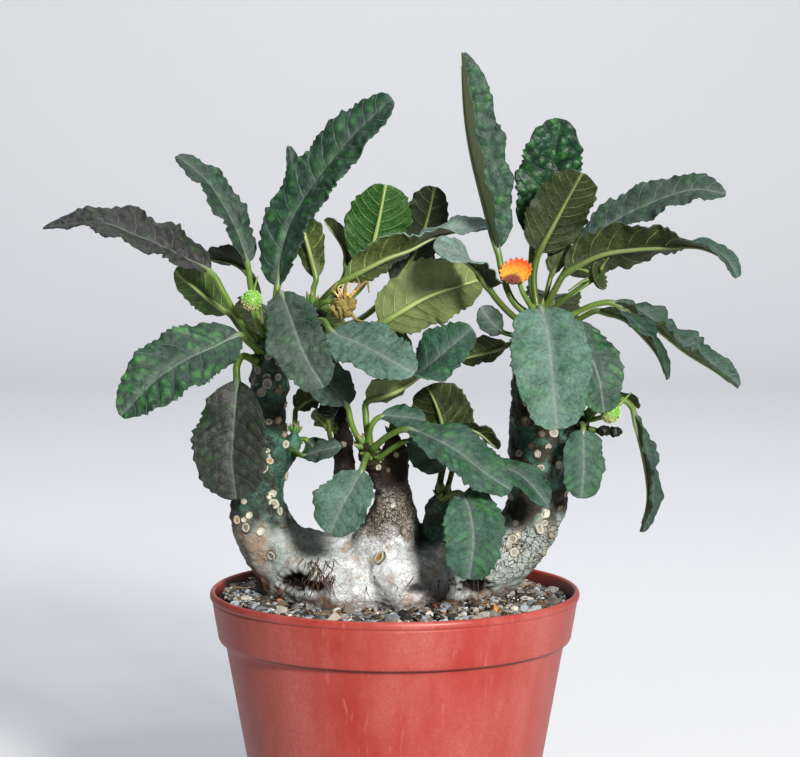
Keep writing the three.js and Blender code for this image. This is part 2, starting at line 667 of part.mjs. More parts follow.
    form: EVEN, face: [-0.3, -0.6, 0.75],
    stalk: [[49.6, 188.4, 9.6], [52, 196.6, 15], [56, 204, 19]],
    blade: [[60.1, 210.6, 20], [71, 219, 21], [84, 225.4, 20], [97, 229.4, 18], [108, 228, 16]],
  },
  {
    name: "leaf_right_top", limb: "rightArm", colour: "green", width: 20, fold: 9, ripple: 1, form: BROAD,
    face: [0.1, -0.95, 0.2],
    stalk: [[45, 190.8, 9.6], [44.4, 200, 14], [44.6, 208, 17]],
    blade: [[45.2, 213, 18], [47.8, 224.5, 18], [51, 239.1, 16.5], [54, 252.8, 14]],
  },
  {
    name: "leaf_right_brown", limb: "rightArm", colour: "olive", width: 19.5, fold: 9, ripple: 0.8,
    form: ROUND, face: [-0.1, 0.95, 0.3],
    stalk: [[45.6, 193, 4], [45.2, 201, 5.5]],
    blade: [[47, 209.4, 6], [51.6, 218.4, 5.5], [56.6, 227.6, 3.5], [61, 235.2, 1]],
  },
  {
    name: "leaf_right_tall", limb: "rightArm", colour: "dark", width: 21, fold: 52, ripple: 0.9, form: EVEN,
    face: [0.75, -0.6, 0.1],
    stalk: [[42.6, 188.4, 4], [38.4, 193.4, 5], [35.2, 201.4, 6.5]],
    blade: [[33.4, 210.4, 7.5], [30.4, 222.2, 8], [25.6, 240.7, 9], [23.2, 256, 9], [22.1, 274.5, 8]],
  },
  {
    name: "leaf_right_inward", limb: "rightArm", colour: "purple", width: 17, fold: 12, ripple: 1.1,
    form: ROUND, face: [0.5, 0.4, 0.8],
    stalk: [[42.4, 184.4, -0.5], [38, 188.8, -5.4], [33.4, 193.6, -9.6]],
    blade: [[30.6, 197.6, -12], [27.2, 203.4, -16], [20.6, 208.2, -19], [12.4, 211, -21]],
  },
  {
    name: "leaf_right_small", limb: "rightArm", colour: "purple", width: 8, fold: 9, ripple: 0.5,
    form: BROAD, face: [0, -0.9, 0.35],
    stalk: [[40.6, 181.4, 0.5], [37.6, 182.4, -2]],
    blade: [[34.8, 183.4, -4], [31.6, 186.2, -6], [28, 191.4, -7]],
  },
  {
    name: "leaf_right_dark", limb: "rightArm", colour: "dark", width: 10, fold: 9, ripple: 0.6, form: BROAD,
    face: [0, 0.8, 0.5],
    stalk: [[40.4, 178.6, 5], [38.6, 179.2, 4.6]],
    blade: [[36.4, 179, 4.4], [29.3, 176.8, 4], [21.1, 174.4, 4.4]],
  },
  {
    name: "leaf_right_between", limb: "rightArm", colour: "dark", width: 8, fold: 14, ripple: 0.6,
    form: LONG, face: [-0.2, 0.9, 0.4],
    stalk: [[48.4, 191, 6.5], [49.6, 196.6, 9.5]],
    blade: [[51, 202, 11], [53.4, 207.6, 11.6], [55.8, 213, 11.6]],
  },
  {
    name: "leaf_right_back", limb: "rightArm", colour: "green", width: 18, fold: 12, ripple: 0.9,
    form: LONG, face: [0.1, 0.2, 0.95], tipFace: [0.2, 0.8, 0.5],
    stalk: [[47.6, 184, 12], [49, 189, 20], [50, 192, 27]],
    blade: [[50.6, 193.6, 33], [51.4, 195, 45], [52, 192, 58], [52.6, 184, 70]],
  },
  // Side shoot of the right stem
  {
    name: "leaf_side_hanging", limb: "sideShoot", colour: "green", width: 13.5, fold: 12, ripple: 0.7,
    form: LONG, face: [0.85, -0.45, 0.2],
    stalk: [[63.4, 155.6, 5], [68, 159.6, 6], [73.8, 161.2, 7]],
    blade: [[78, 156.8, 7.5], [81.8, 141.6, 8], [82.9, 128.6, 8], [80, 118, 7]],
  },
  {
    name: "leaf_side_round", limb: "sideShoot", colour: "green", width: 13.5, fold: 9, ripple: 0.7,
    form: ROUND, face: [0.1, -0.93, 0.35],
    stalk: [[61, 153, -1], [61.2, 153.2, -5]],
    blade: [[61.3, 151.2, -8.6], [61.4, 145.8, -11.6], [61.4, 138.6, -13], [60.8, 129, -13]],
  },
  {
    name: "leaf_side_strip", limb: "sideShoot", colour: "dark", width: 6.5, fold: 10, ripple: 0.4,
    form: LONG, face: [0.2, 0.2, 0.95],
    stalk: [[61.6, 156.4, 8], [66, 160.4, 11]],
    blade: [[70.6, 163, 13], [75.4, 162.4, 14.4], [79.4, 158.4, 15]],
  },
];

// The nearest point to a place on a limb's centre line
function middleOf(name, place) {
  const points = LIMBS[name];
  const curve = splineThrough(points.map(fromFront));
  let nearest = null;
  for (let i = 0; i <= 120; i++) {
    const t = i / 120;
    const centre = curve.getPoint(t);
    const distance = centre.distanceTo(place);
    if (!nearest || distance < nearest.distance) {
      nearest = { centre, distance };
    }
  }
  return nearest.centre;
}

// Where a stalk leaves its limb: on the bark straight out from the limb's middle towards the place,
// and just clear of it. Outward is square to the bark there.
function seatOn(limb, place) {
  const centre = middleOf(limb, place);
  const towards = place.clone().sub(centre).normalize();
  const [hit] = new THREE.Raycaster(centre, towards).intersectObject(BARK);
  const outward = hit.face.normal.clone();
  return { root: hit.point.clone().addScaledVector(outward, TOUCH_GAP), outward };
}

function petioleRadius(leaf) {
  return PETIOLE_RADIUS * (0.6 + 0.02 * leaf.width);
}

function halfWidth(leaf, s) {
  const { rise, fall } = leaf.form;
  const widest = rise / (rise + fall);
  const most = widest ** rise * (1 - widest) ** fall;
  const share = (s ** rise * (1 - s) ** fall) / most;
  return Math.max((leaf.width / 2) * share, 0.9 * petioleRadius(leaf));
}

const ROW = [-1, -0.5, 0, 0.5, 1];

function bladeRow(leaf, centre, tangent, hint, s, i) {
  const { normal, across } = crossFrame(tangent, hint);
  const fold = THREE.MathUtils.degToRad(leaf.fold);
  const tooth = 1 + (i % 2 ? TOOTH : -TOOTH);
  const half = halfWidth(leaf, s) * (s > 0 ? tooth : 1);
  const fade = Math.sin(Math.PI * Math.min(s * 1.15, 1)) ** 0.5;
  return ROW.map((side) => {
    const wave = leaf.ripple * fade * side * side * Math.sin(2.1 * i + (side > 0 ? 0 : 1.9));
    return centre
      .clone()
      .addScaledVector(across, side * half * Math.cos(fold))
      .addScaledVector(normal, Math.abs(side) * half * Math.sin(fold) + wave);
  });
}

// Upper and lower faces: half the thickness to each side of the middle surface.
function thicken(rows) {
  const upper = [];
  const lower = [];
  const last = rows.length - 1;
  rows.forEach((row, i) => {
    row.forEach((point, j) => {
      const along = rows[Math.min(i + 1, last)][j].clone().sub(rows[Math.max(i - 1, 0)][j]);
      const across = row[Math.min(j + 1, 4)].clone().sub(row[Math.max(j - 1, 0)]);
      const normal = across.cross(along).normalize();
      upper.push(point.clone().addScaledVector(normal, BLADE_THICKNESS / 2));
      lower.push(point.clone().addScaledVector(normal, -BLADE_THICKNESS / 2));
    });
  });
  return { upper, lower };
}

function leafGeometry(leaf) {
  const stalk = leaf.stalk.map(fromFront);
  const blade = leaf.blade.map(fromFront);
  const { root, outward } = seatOn(leaf.limb, stalk[0]);
  stalk[0] = root;
  const curve = splineThrough([...stalk, ...blade]);
  const lengths = curve.getLengths(200);
  const total = lengths[200];
  const bladeIndex = Math.round((200 * stalk.length) / (stalk.length + blade.length - 1));
  const bladeStart = lengths[bladeIndex] / total;
  const bladeLength = total * (1 - bladeStart);
  const stations = Math.max(7, Math.min(13, Math.round(bladeLength / 4.6)));
  const faceBase = new THREE.Vector3(...leaf.face);
  const faceTip = new THREE.Vector3(...(leaf.tipFace ?? leaf.face));

  const points = [];
  for (let i = 0; i < PETIOLE_STEPS; i++) {
    const u = (bladeStart * i) / PETIOLE_STEPS;
    const tangent = i === 0 ? outward : curve.getTangentAt(u);
    const hint = i === 0 ? faceBase.clone().addScaledVector(outward, 1e-3) : faceBase;
    const { normal, across } = crossFrame(tangent, hint);
    const centre = curve.getPointAt(u);
    for (const degrees of [150, 75, 0, -75, -150]) {
      const angle = THREE.MathUtils.degToRad(degrees);
      points.push(
        centre
          .clone()
          .addScaledVector(across, petioleRadius(leaf) * Math.cos(angle))
          .addScaledVector(normal, petioleRadius(leaf) * Math.sin(angle)),
      );
    }
  }

  const rows = [];
  for (let i = 0; i < stations; i++) {
    const s = (i / (stations - 1)) * 0.985;
    const u = bladeStart + (1 - bladeStart) * s;
    const hint = faceBase.clone().lerp(faceTip, s);
    rows.push(bladeRow(leaf, curve.getPointAt(u), curve.getTangentAt(u), hint, s, i));
  }
  const { upper, lower } = thicken(rows);
  const up = points.length;
  points.push(...upper);
  const down = points.length;
  points.push(...lower);
  return geometryFrom(points, leafTriangles(stations, up, down));
}

function leafTriangles(stations, up, down) {
  const triangles = [];
  for (let i = 0; i + 1 < PETIOLE_STEPS; i++) {
    for (let j = 0; j < 5; j++) {
      const a = i * 5 + j;
      const b = i * 5 + ((j + 1) % 5);
      triangles.push(a, b, b + 5, a, b + 5, a + 5);
    }
  }
  triangles.push(0, 4, 3, 0, 3, 2, 0, 2, 1);
  const collar = (PETIOLE_STEPS - 1) * 5;
  const firstRing = [0, 1, 2, 3, 4].map((j) => up + j).concat([4, 3, 2, 1, 0].map((j) => down + j));
  for (let j = 0; j < 10; j++) {
    const next = (j + 1) % 10;
    const a = collar + Math.floor(j / 2);
    const b = collar + Math.floor(next / 2);
    if (a !== b) {
      triangles.push(a, b, firstRing[next]);
    }
    triangles.push(a, firstRing[next], firstRing[j]);
  }
  for (let i = 0; i + 1 < stations; i++) {
    for (let j = 0; j < 4; j++) {
      const k = i * 5 + j;
      triangles.push(up + k, up + k + 1, up + k + 6, up + k, up + k + 6, up + k + 5);
      triangles.push(down + k, down + k + 6, down + k + 1, down + k, down + k + 5, down + k + 6);
    }
    const left = i * 5;
    const right = left + 4;
    triangles.push(down + left, up + left, up + left + 5, down + left, up + left + 5, down + left + 5);
    triangles.push(up + right, down + right, down + right + 5, up + right, down + right + 5, up + right + 5);
  }
  const tip = (stations - 1) * 5;
  for (let j = 0; j < 4; j++) {
    const k = tip + j;
    triangles.push(up + k, up + k + 1, down + k + 1, up + k, down + k + 1, down + k);
  }
  return triangles;
}

// Flower heads: fleshy discs and balls on stalks, some with narrow bracts round them

const FLOWERS = [
  {
    name: "flower_left_green", limb: "leftArm", colour: "flower", kind: "ball", size: 3.6,
    stalk: [[-43.4, 182.6, -5], [-45, 186.4, -8], [-46.2, 190, -9]], head: [-46.5, 193.4, -9],
    bracts: [[-44.6, 201.4, -8]],
  },
  {
    name: "flower_rear_dry", limb: "rear", colour: "dry", kind: "husk", size: 4.2,
    stalk: [[-26.6, 190, 13], [-22.6, 193, 7.4]], head: [-16.6, 192.4, 5.6],
    bracts: [[-13, 202, 8], [-8.4, 196, 6], [-9.6, 186.6, 8]],
  },
  {
    name: "flower_inner_star", limb: "rear", colour: "flower", kind: "star", size: 3.2,
    stalk: [[-18.6, 146.4, 11], [-20.6, 148, 4.6], [-21.6, 153, 0.4]], head: [-21.8, 157.4, -1], bracts: [],
    face: [0, -0.5, 0.85],
  },
  {
    name: "flower_right_orange", limb: "rightArm", colour: "orange", kind: "disc", size: 4.3,
    stalk: [[44.8, 190, 1.5], [42, 195.4, -1], [40.6, 199, -2]], head: [39.4, 202.6, -2.6], bracts: [],
    face: [-0.2, -0.72, 0.66],
  },
  {
    name: "flower_right_green", limb: "rightArm", colour: "flower", kind: "disc", size: 4.4,
    stalk: [[50, 188.4, 0.5], [56, 194.6, -4], [62.4, 199, -6.5]], head: [66, 201.4, -7],
    bracts: [[58.6, 198.4, -10], [69.6, 207.4, -9]], face: [0.85, -0.45, 0.3],
  },
  {
    name: "flower_side_green", limb: "sideShoot", colour: "flower", kind: "ball", size: 3.5,
    stalk: [[63.6, 154.4, 1], [66.8, 155.4, -1.6]], head: [70.2, 157, -2.6], bracts: [[77, 163.6, 0]],
  },
  {
    name: "flower_side_dark", limb: "sideShoot", colour: "dark", kind: "disc", size: 2.6,
    stalk: [[63.6, 151.6, 4], [68.6, 150.6, 3.6]], head: [71.8, 150.8, 3],
    bracts: [], face: [0.2, -0.8, -0.4],
  },
];

function ballSolid(centre, radius, lumpy) {
  const geometry = new THREE.IcosahedronGeometry(radius, 1);
  const spot = geometry.attributes.position;
  const place = new THREE.Vector3();
  for (let i = 0; i < spot.count; i++) {
    place.fromBufferAttribute(spot, i);
    const lump = 1 + lumpy * Math.sin(2.3 * place.x + 1.1) * Math.cos(1.9 * place.z - place.y);
    place.multiplyScalar(lump).add(centre);
    spot.setXYZ(i, place.x, place.y, place.z);
  }
  return toSolid(geometry);
}

// A toothed disc that faces one way: flat on its face and tapered to its stalk.
function discSolid(centre, facing, radius, teeth) {
  const { normal, across } = crossFrame(facing, new THREE.Vector3(0.2, 0.1, 1));
  const sides = teeth * 2;
  const ring = (reach, lift, toothed) =>
    Array.from({ length: sides }, (_, j) => {
      const angle = (-2 * Math.PI * j) / sides;
      const out = reach * (toothed && j % 2 ? 0.84 : 1);
      return centre
        .clone()
        .addScaledVector(across, out * Math.cos(angle))
        .addScaledVector(normal, out * Math.sin(angle))
        .addScaledVector(facing, lift);
    });
  const points = [
    ...ring(radius * 0.3, -2.2, false),
    ...ring(radius, -0.2, true),
    ...ring(radius * 0.95, 0.7, true),
    ...ring(radius * 0.6, 0.5, false),
  ];
  return toSolid(geometryFrom(points, tubeTriangles(4, sides)));
}

function bractSolid(from, to) {
  const curve = new THREE.LineCurve3(from, to);
  return toSolid(tube(curve, [0.9, 0.7, 0.4], 5));
}

function flowerGeometry(flower) {
  const stalk = flower.stalk.map(fromFront);
  stalk[0] = seatOn(flower.limb, stalk[0]).root;
  const head = fromFront(flower.head);
  const facing = flower.face
    ? new THREE.Vector3(...flower.face).normalize()
    : head.clone().sub(stalk[stalk.length - 1]).normalize();
  const pieces = [toSolid(tube(splineThrough([...stalk, head]), [0.4, 0.8, 0.8, 0.8, 0.8], 5))];
  if (flower.kind === "ball") {
    pieces.push(ballSolid(head, flower.size, 0.03));
  } else if (flower.kind === "husk") {
    pieces.push(ballSolid(head, flower.size, 0.3));
  } else {
    pieces.push(discSolid(head, facing, flower.size, flower.kind === "star" ? 6 : 9));
  }
  for (const tip of flower.bracts) {
    pieces.push(bractSolid(head, fromFront(tip)));
  }
  return toGeometry(joined(pieces));
}

// The whole object

function addMesh(group, name, geometry, colour, roughness = 0.6) {
  geometry.computeVertexNormals();
  const material = new THREE.MeshStandardMaterial({ color: COLOURS[colour], roughness, metalness: 0 });
  const mesh = new THREE.Mesh(geometry, material);
  mesh.name = name;
  group.add(mesh);
}

function buildPlant() {
  const group = new THREE.Group();
  addMesh(group, "pot", toGeometry(potSolid()), "pot", 0.45);
  addMesh(group, "soil", toGeometry(soilSolid()), "soil", 0.95);
  const roots = [...LEAVES, ...FLOWERS].map(({ limb, stalk }) => seatOn(limb, fromFront(stalk[0])).root);
  addMesh(group, "caudex", toGeometry(caudexSolid(roots)), "bark", 0.8);
  for (const leaf of LEAVES) {
    addMesh(group, leaf.name, leafGeometry(leaf), leaf.colour);
  }
  for (const flower of FLOWERS) {
    addMesh(group, flower.name, flowerGeometry(flower), flower.colour, 0.7);
  }
  return group;
}

export default buildPlant();
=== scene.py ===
"""Looks of the potted dorstenia foetida: a swollen silvery caudex with scarred stems and quilted leaves,
standing in coarse grit in a terracotta-red plastic grower's pot.

Lengths in the tables are millimetres. A point of the plant is given as it measures on the front view: how
far across, how high and how deep, and from_front() places it in space. All random numbers are seeded.
"""

import math
from functools import partial

import bmesh
import bpy
import numpy as np
from bpy.props import FloatProperty, FloatVectorProperty, IntProperty, PointerProperty
from mathutils import Matrix, Vector, noise
from mathutils.bvhtree import BVHTree


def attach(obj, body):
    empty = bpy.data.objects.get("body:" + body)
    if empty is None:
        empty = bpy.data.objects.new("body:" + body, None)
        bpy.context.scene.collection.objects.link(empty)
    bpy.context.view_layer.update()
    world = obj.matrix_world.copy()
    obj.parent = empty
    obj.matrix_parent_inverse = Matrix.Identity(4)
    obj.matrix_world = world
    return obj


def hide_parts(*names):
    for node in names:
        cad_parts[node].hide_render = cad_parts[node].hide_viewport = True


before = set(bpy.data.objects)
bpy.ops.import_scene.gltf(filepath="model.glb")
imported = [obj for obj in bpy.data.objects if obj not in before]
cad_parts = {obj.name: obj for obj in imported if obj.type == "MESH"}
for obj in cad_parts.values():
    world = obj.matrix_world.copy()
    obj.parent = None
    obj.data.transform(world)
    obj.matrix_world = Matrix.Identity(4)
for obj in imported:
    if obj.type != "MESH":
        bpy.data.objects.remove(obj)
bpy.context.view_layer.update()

bl_info = {
    "name": "Potted dorstenia",
    "version": (1, 0, 0),
    "blender": (4, 5, 0),
    "location": "3D View > Sidebar > Dorstenia",
    "description": "Builds a caudex plant in its pot from named sizes and colours",
    "category": "Add Mesh",
}

MM = 0.001
POT_HEIGHT = 100
EYE = np.array([1.7, -888.5, 258.7])
EYE_PITCH = math.radians(5.8)
LENS = 124.5
SENSOR = 36
GOLDEN_ANGLE = math.radians(137.5)
UPWARD = np.array([0.2, 0.1, 1.0])

# The pot's drain holes: how many, how far out and their radius
DRAIN_HOLES = 6
DRAIN_CIRCLE = 27
DRAIN_RADIUS = 4.5

# Height of the earth and of the stones on it, and how far out they lie
EARTH_LEVEL = 95.9
STONES_LEVEL = 96.4
WALL_INSIDE = 56.6

# Distance between the teeth, the frills of the edge and the small domes of a blade
TOOTH_SPACING = 2.9
FRILL_SPACING = 6.1
DOME_SPACING = 2.9


def linear(code):
    """The linear colour of an sRGB hex value such as "#B9504A"."""
    channels = [int(code[i : i + 2], 16) / 255 for i in (1, 3, 5)]
    return tuple(c / 12.92 if c <= 0.04045 else ((c + 0.055) / 1.055) ** 2.4 for c in channels) + (1.0,)


def colour_property(name, description, code):
    """A colour that the user can change."""
    return FloatVectorProperty(
        name=name, description=description, subtype="COLOR", size=4, min=0, max=1, default=linear(code)
    )


# Settings


class PotSettings(bpy.types.PropertyGroup):
    """Sizes and colours of the plastic pot."""

    rim_radius: FloatProperty(
        name="Rim radius", description="Outer radius at the lip", default=60 * MM, unit="LENGTH"
    )
    wall: FloatProperty(name="Wall", description="Thickness of the side", default=1.6 * MM, unit="LENGTH")
    sides: IntProperty(name="Sides", description="Faces round the pot", default=192, min=48)
    plastic: colour_property("Plastic", "Terracotta-red polypropylene", "#912F25")
    dust: colour_property("Dust", "Pale lime and dust wiped over the plastic", "#AF6F6A")
    stain: colour_property("Stain", "Wet, darker runs below the band", "#7E1E12")


class SoilSettings(bpy.types.PropertyGroup):
    """Sizes and colours of the grit."""

    large: IntProperty(name="Large stones", description="Stones of 3 to 5 mm", default=170, min=0)
    medium: IntProperty(name="Medium stones", description="Stones of 1.7 to 3 mm", default=1000, min=0)
    small: IntProperty(name="Small stones", description="Grains of 0.8 to 1.6 mm", default=4400, min=0)
    seed: IntProperty(name="Seed", description="Which of the possible layouts of the stones", default=7)
    earth: colour_property("Earth", "Dark fines between the stones", "#2B231C")


class CaudexSettings(bpy.types.PropertyGroup):
    """Sizes and colours of the woody body."""

    grain: FloatProperty(
        name="Grain", description="Size of the faces that model the bark", default=0.75 * MM, unit="LENGTH"
    )
    bark: colour_property("Bark", "Silvery skin of the swollen base", "#DADFE4")
    young: colour_property("Young bark", "Dark green skin of the stems", "#326251")
    crack: colour_property("Crack", "Dark bottoms of the fissures", "#2A231C")
    earth: colour_property("Earth", "Soil stained into the foot", "#5E4632")
    scar: colour_property("Scar", "Corky rims of the leaf scars", "#B9B8A6")


class LeafSettings(bpy.types.PropertyGroup):
    """Sizes and colours of the leaves."""

    thickness: FloatProperty(
        name="Thickness", description="Thickness of a blade at its middle", default=0.7 * MM, unit="LENGTH"
    )
    tooth: FloatProperty(
        name="Tooth", description="Depth of the teeth on the edge", default=0.95 * MM, unit="LENGTH"
    )
    upper: colour_property("Upper side", "Bluish green of the upper side", "#1F4F35")
    blotch: colour_property("Blotch", "Brighter green between the veins", "#3A7434")
    frost: colour_property("Frost", "Blue-grey bloom in clouds", "#5D8075")
    purple: colour_property("Purple", "Purple-grey of sunburnt leaves", "#2E2628")
    under: colour_property("Underside", "Olive green of the underside", "#5D6E37")
    vein: colour_property("Vein", "Pale raised veins", "#96A96E")
    petiole: colour_property("Petiole", "Fleshy stalks", "#6A8342")


class FlowerSettings(bpy.types.PropertyGroup):
    """Colours of the flower heads."""

    green: colour_property("Green head", "Fuzzy unripe head", "#8CBB57")
    orange: colour_property("Orange head", "Ripe head", "#E0672C")
    dry: colour_property("Dry head", "Papery dead head", "#A0925A")


class StageSettings(bpy.types.PropertyGroup):
    """Floor and light."""

    floor: colour_property("Floor", "Plain pale floor", "#CDCECF")
    key: FloatProperty(name="Key light", description="Power of the soft key light in watts", default=44.0)
    back: FloatProperty(name="Back light", description="Watts of the light on the backdrop", default=30.0)
    fill: FloatProperty(name="Sky", description="Strength of the even light from all round", default=0.11)


# Curves: the same smooth line through given points as the solids follow


def from_front(point):
    """Space, in mm, of a point measured on the front view: across, height and depth."""
    across, height, depth = point
    rise = height - POT_HEIGHT
    on_plane = np.array([across, rise * math.sin(EYE_PITCH), POT_HEIGHT + rise * math.cos(EYE_PITCH)])
    sight = on_plane - EYE
    return EYE + sight * (depth - EYE[1]) / sight[1]


def sight_to(across, height):
    """The way from the eye to a spot of the front view."""
    return unit(from_front((across, height, 0)) - EYE)


def seen_on(bark, across, height):
    """What the front view shows of the bark at a spot: the place and the way outwards."""
    return bark.ray_cast(Vector(EYE), Vector(sight_to(across, height)))[:2]


def unit(vectors):
    """Vectors of length one."""
    return vectors / np.maximum(np.linalg.norm(vectors, axis=-1, keepdims=True), 1e-9)


class Spline:
    """Smooth line through points, walked by its share of length."""

    def __init__(self, points):
        points = np.asarray(points, float)
        self.count = len(points) - 1
        self.knots = np.vstack([2 * points[0] - points[1], points, 2 * points[-1] - points[-2]])
        self.steps = np.linspace(0, 1, 401)
        run = np.linalg.norm(np.diff(self.at(self.steps), axis=0), axis=1)
        self.lengths = np.concatenate([[0], np.cumsum(run)])
        self.length = self.lengths[-1]

    def at(self, t):
        """Points at parameters from 0 to 1."""
        x = np.clip(np.atleast_1d(t), 0, 1) * self.count
        k = np.minimum(x.astype(int), self.count - 1)
        w = (x - k)[:, None]
        a, b, c, d = (self.knots[k + i] for i in range(4))
        ta, tb = (c - a) / 2, (d - b) / 2
        return b + ta * w + (3 * (c - b) - 2 * ta - tb) * w**2 + (2 * (b - c) + ta + tb) * w**3

    def parameter(self, share):
        """Parameter at a share of the length."""
        return np.interp(np.asarray(share) * self.length, self.lengths, self.steps)

    def walk(self, share):
        """Points and directions at shares of the length."""
        t = np.atleast_1d(self.parameter(share))
        ahead = unit(self.at(np.minimum(t + 1e-3, 1)) - self.at(np.maximum(t - 1e-3, 0)))
        return self.at(t), ahead


def cross_frame(ahead, hint):
    """Directions square to the way ahead: the normal, as near to the hint as it can be, and across."""
    hint = np.broadcast_to(hint, ahead.shape)
    normal = unit(hint - ahead * np.sum(hint * ahead, axis=-1, keepdims=True))
    return normal, np.cross(ahead, normal)


def smooth(low, high, x):
    """0 below low, 1 above high and a soft step between."""
    t = np.clip((x - low) / (high - low), 0, 1)
    return t * t * (3 - 2 * t)


# Meshes


def add_object(name, data):
    """A new object in the scene."""
    thing = bpy.data.objects.new(name, data)
    bpy.context.scene.collection.objects.link(thing)
    return thing


def mesh_object(name, points, faces, materials, slot, indices=None, flat=False, **attributes):
    """An object from points in mm and faces. Attributes hold one value or vector for each point."""
    mesh = bpy.data.meshes.new(name)
    mesh.from_pydata((np.asarray(points) * MM).tolist(), [], [list(f) for f in faces])
    for material in materials:
        mesh.materials.append(material)
    if indices is not None:
        mesh.polygons.foreach_set("material_index", np.asarray(indices, np.int32))
    mesh.polygons.foreach_set("use_smooth", [not flat] * len(mesh.polygons))
    add_attributes(mesh, attributes)
    mesh.update()
    piece = add_object(name, mesh)
    return piece


def add_attributes(mesh, attributes):
    """Store one vector a point under each name."""
    for name, values in attributes.items():
        layer = mesh.attributes.new(name, "FLOAT_VECTOR", "POINT")
        layer.data.foreach_set("vector", np.asarray(values, np.float32).ravel())


def grid_faces(rows, columns, start=0, closed=False):
    """Quads of a grid of points; closed joins its last column to its first."""
    i, j = np.meshgrid(np.arange(rows - 1), np.arange(columns if closed else columns - 1), indexing="ij")
    a = start + i * columns + j
    b = start + i * columns + (j + 1) % columns
    return np.stack([a, b, b + columns, a + columns], axis=-1).reshape(-1, 4)


def tube(points, radii, sides, hint=(0.31, -0.94, 0.12)):
    """Points and faces of a closed round tube through points, with a radius at each."""
    points = np.asarray(points, float)
    ahead = unit(np.gradient(points, axis=0))
    normal, across = cross_frame(ahead, np.array(hint, float))
    angle = np.linspace(0, 2 * math.pi, sides, endpoint=False)
    reach = np.broadcast_to(np.asarray(radii, float).reshape(len(points), -1), (len(points), sides))
    way = normal[:, None] * np.sin(-angle)[None, :, None] + across[:, None] * np.cos(-angle)[None, :, None]
    return (points[:, None] + reach[..., None] * way).reshape(-1, 3), ring_faces(len(points), sides)


def join_parts(parts):
    """One set of points and faces out of several, with the number of points in each."""
    points, faces, start = [], [], 0
    for part_points, part_faces in parts:
        points.append(np.asarray(part_points))
        faces += [[v + start for v in face] for face in part_faces]
        start += len(part_points)
    return np.vstack(points), faces


def ring_faces(rows, sides, start_cap=True):
    """Faces of rings of points, closed at the end and, if wanted, at the start."""
    faces = grid_faces(rows, sides, closed=True).tolist()
    last = (rows - 1) * sides
    return faces + [list(range(sides))[::-1]] * start_cap + [list(range(last, last + sides))]


def icosphere(subdivisions):
    """Points and faces of a ball with a radius of one."""
    shape = bmesh.new()
    bmesh.ops.create_icosphere(shape, subdivisions=subdivisions, radius=1)
    points = np.array([v.co for v in shape.verts])
    faces = [[v.index for v in f.verts] for f in shape.faces]
    shape.free()
    return points, faces


def as_vectors(values):
    """Single values as vectors, to be stored under a name."""
    return np.stack([values, 0 * values, 0 * values], axis=-1)


def surface_of(piece):
    """A search tree of a piece's surface, in mm."""
    points = [v.co / MM for v in piece.data.vertices]
    return BVHTree.FromPolygons(points, [p.vertices[:] for p in piece.data.polygons])


# Materials


def feed(node, inputs):
    """Set or link a node's inputs, given by order or by name. A text is an sRGB hex colour."""
    for name, value in inputs.items() if isinstance(inputs, dict) else enumerate(inputs):
        sockets = [s for s in node.inputs if s.enabled]
        socket = sockets[name] if isinstance(name, int) else next(s for s in sockets if s.name == name)
        if isinstance(value, bpy.types.NodeSocket):
            node.id_data.links.new(value, socket)
        else:
            socket.default_value = linear(value) if isinstance(value, str) else value


def add_node(tree, kind, inputs=(), give=None, **settings):
    """Add one shader node, with its properties as settings. Returns its output called give, or its first.
    Inputs by order are: factor, A and B of a Mix; value, from min, from max, to min and to max of a
    MapRange; place, scale, detail and roughness of a TexNoise; place and scale of a TexVoronoi."""
    node = tree.nodes.new("ShaderNode" + kind)
    for name, value in settings.items():
        setattr(node, name, value)
    feed(node, inputs)
    return next(s for s in node.outputs if s.enabled and give in (None, s.name))


def new_material(name, inputs):
    """A named material with these shader inputs, what adds a node to it and what feeds its shader."""
    material = bpy.data.materials.new(name)
    material.use_nodes = True
    tree = material.node_tree
    shader = tree.nodes["Principled BSDF"]
    feed(shader, inputs)
    return material, partial(add_node, tree), partial(feed, shader)


def stored(node, name):
    """The three values that a mesh stores at its points under a name."""
    return node("SeparateXYZ", [node("Attribute", give="Vector", attribute_name=name)]).node.outputs


# Pot


def pot_profile(settings):
    """Radius and height of the pot's section in mm, up its outside and down its inside."""
    rim = settings.rim_radius / MM
    wall = settings.wall / MM
    outside = [
        (0, 0.6), (27, 0.5), (38.4, 0), (39.6, 0.15), (40.3, 0.7), (40.6, 1.6), (47.7, 41.6), (54.7, 80.9),
        (54.9, 82.6), (55.4, 83.6), (57.0, 84.1), (57.35, 84.9), (57.5, 86), (58.4, 91), (59.25, 96.4),
        (59.35, 97.0), (59.2, 97.25), (59.85, 97.6), (rim, 98.1), (rim, 98.9), (59.7, 99.6), (59.2, 100)
    ]
    inside = [
        (58.7, 99.9), (58.3, 99.3), (57.2, 93), (57.2 - 1.1, 86), (56.1 - 0.5, 84.6), (54.2, 82.8),
        (54.8 - wall, 80.6), (47.6 - wall, 41.6), (41.2 - wall, 4.2), (40.4 - wall, 3), (38, 2.5), (0, 2.4)
    ]
    return outside + inside


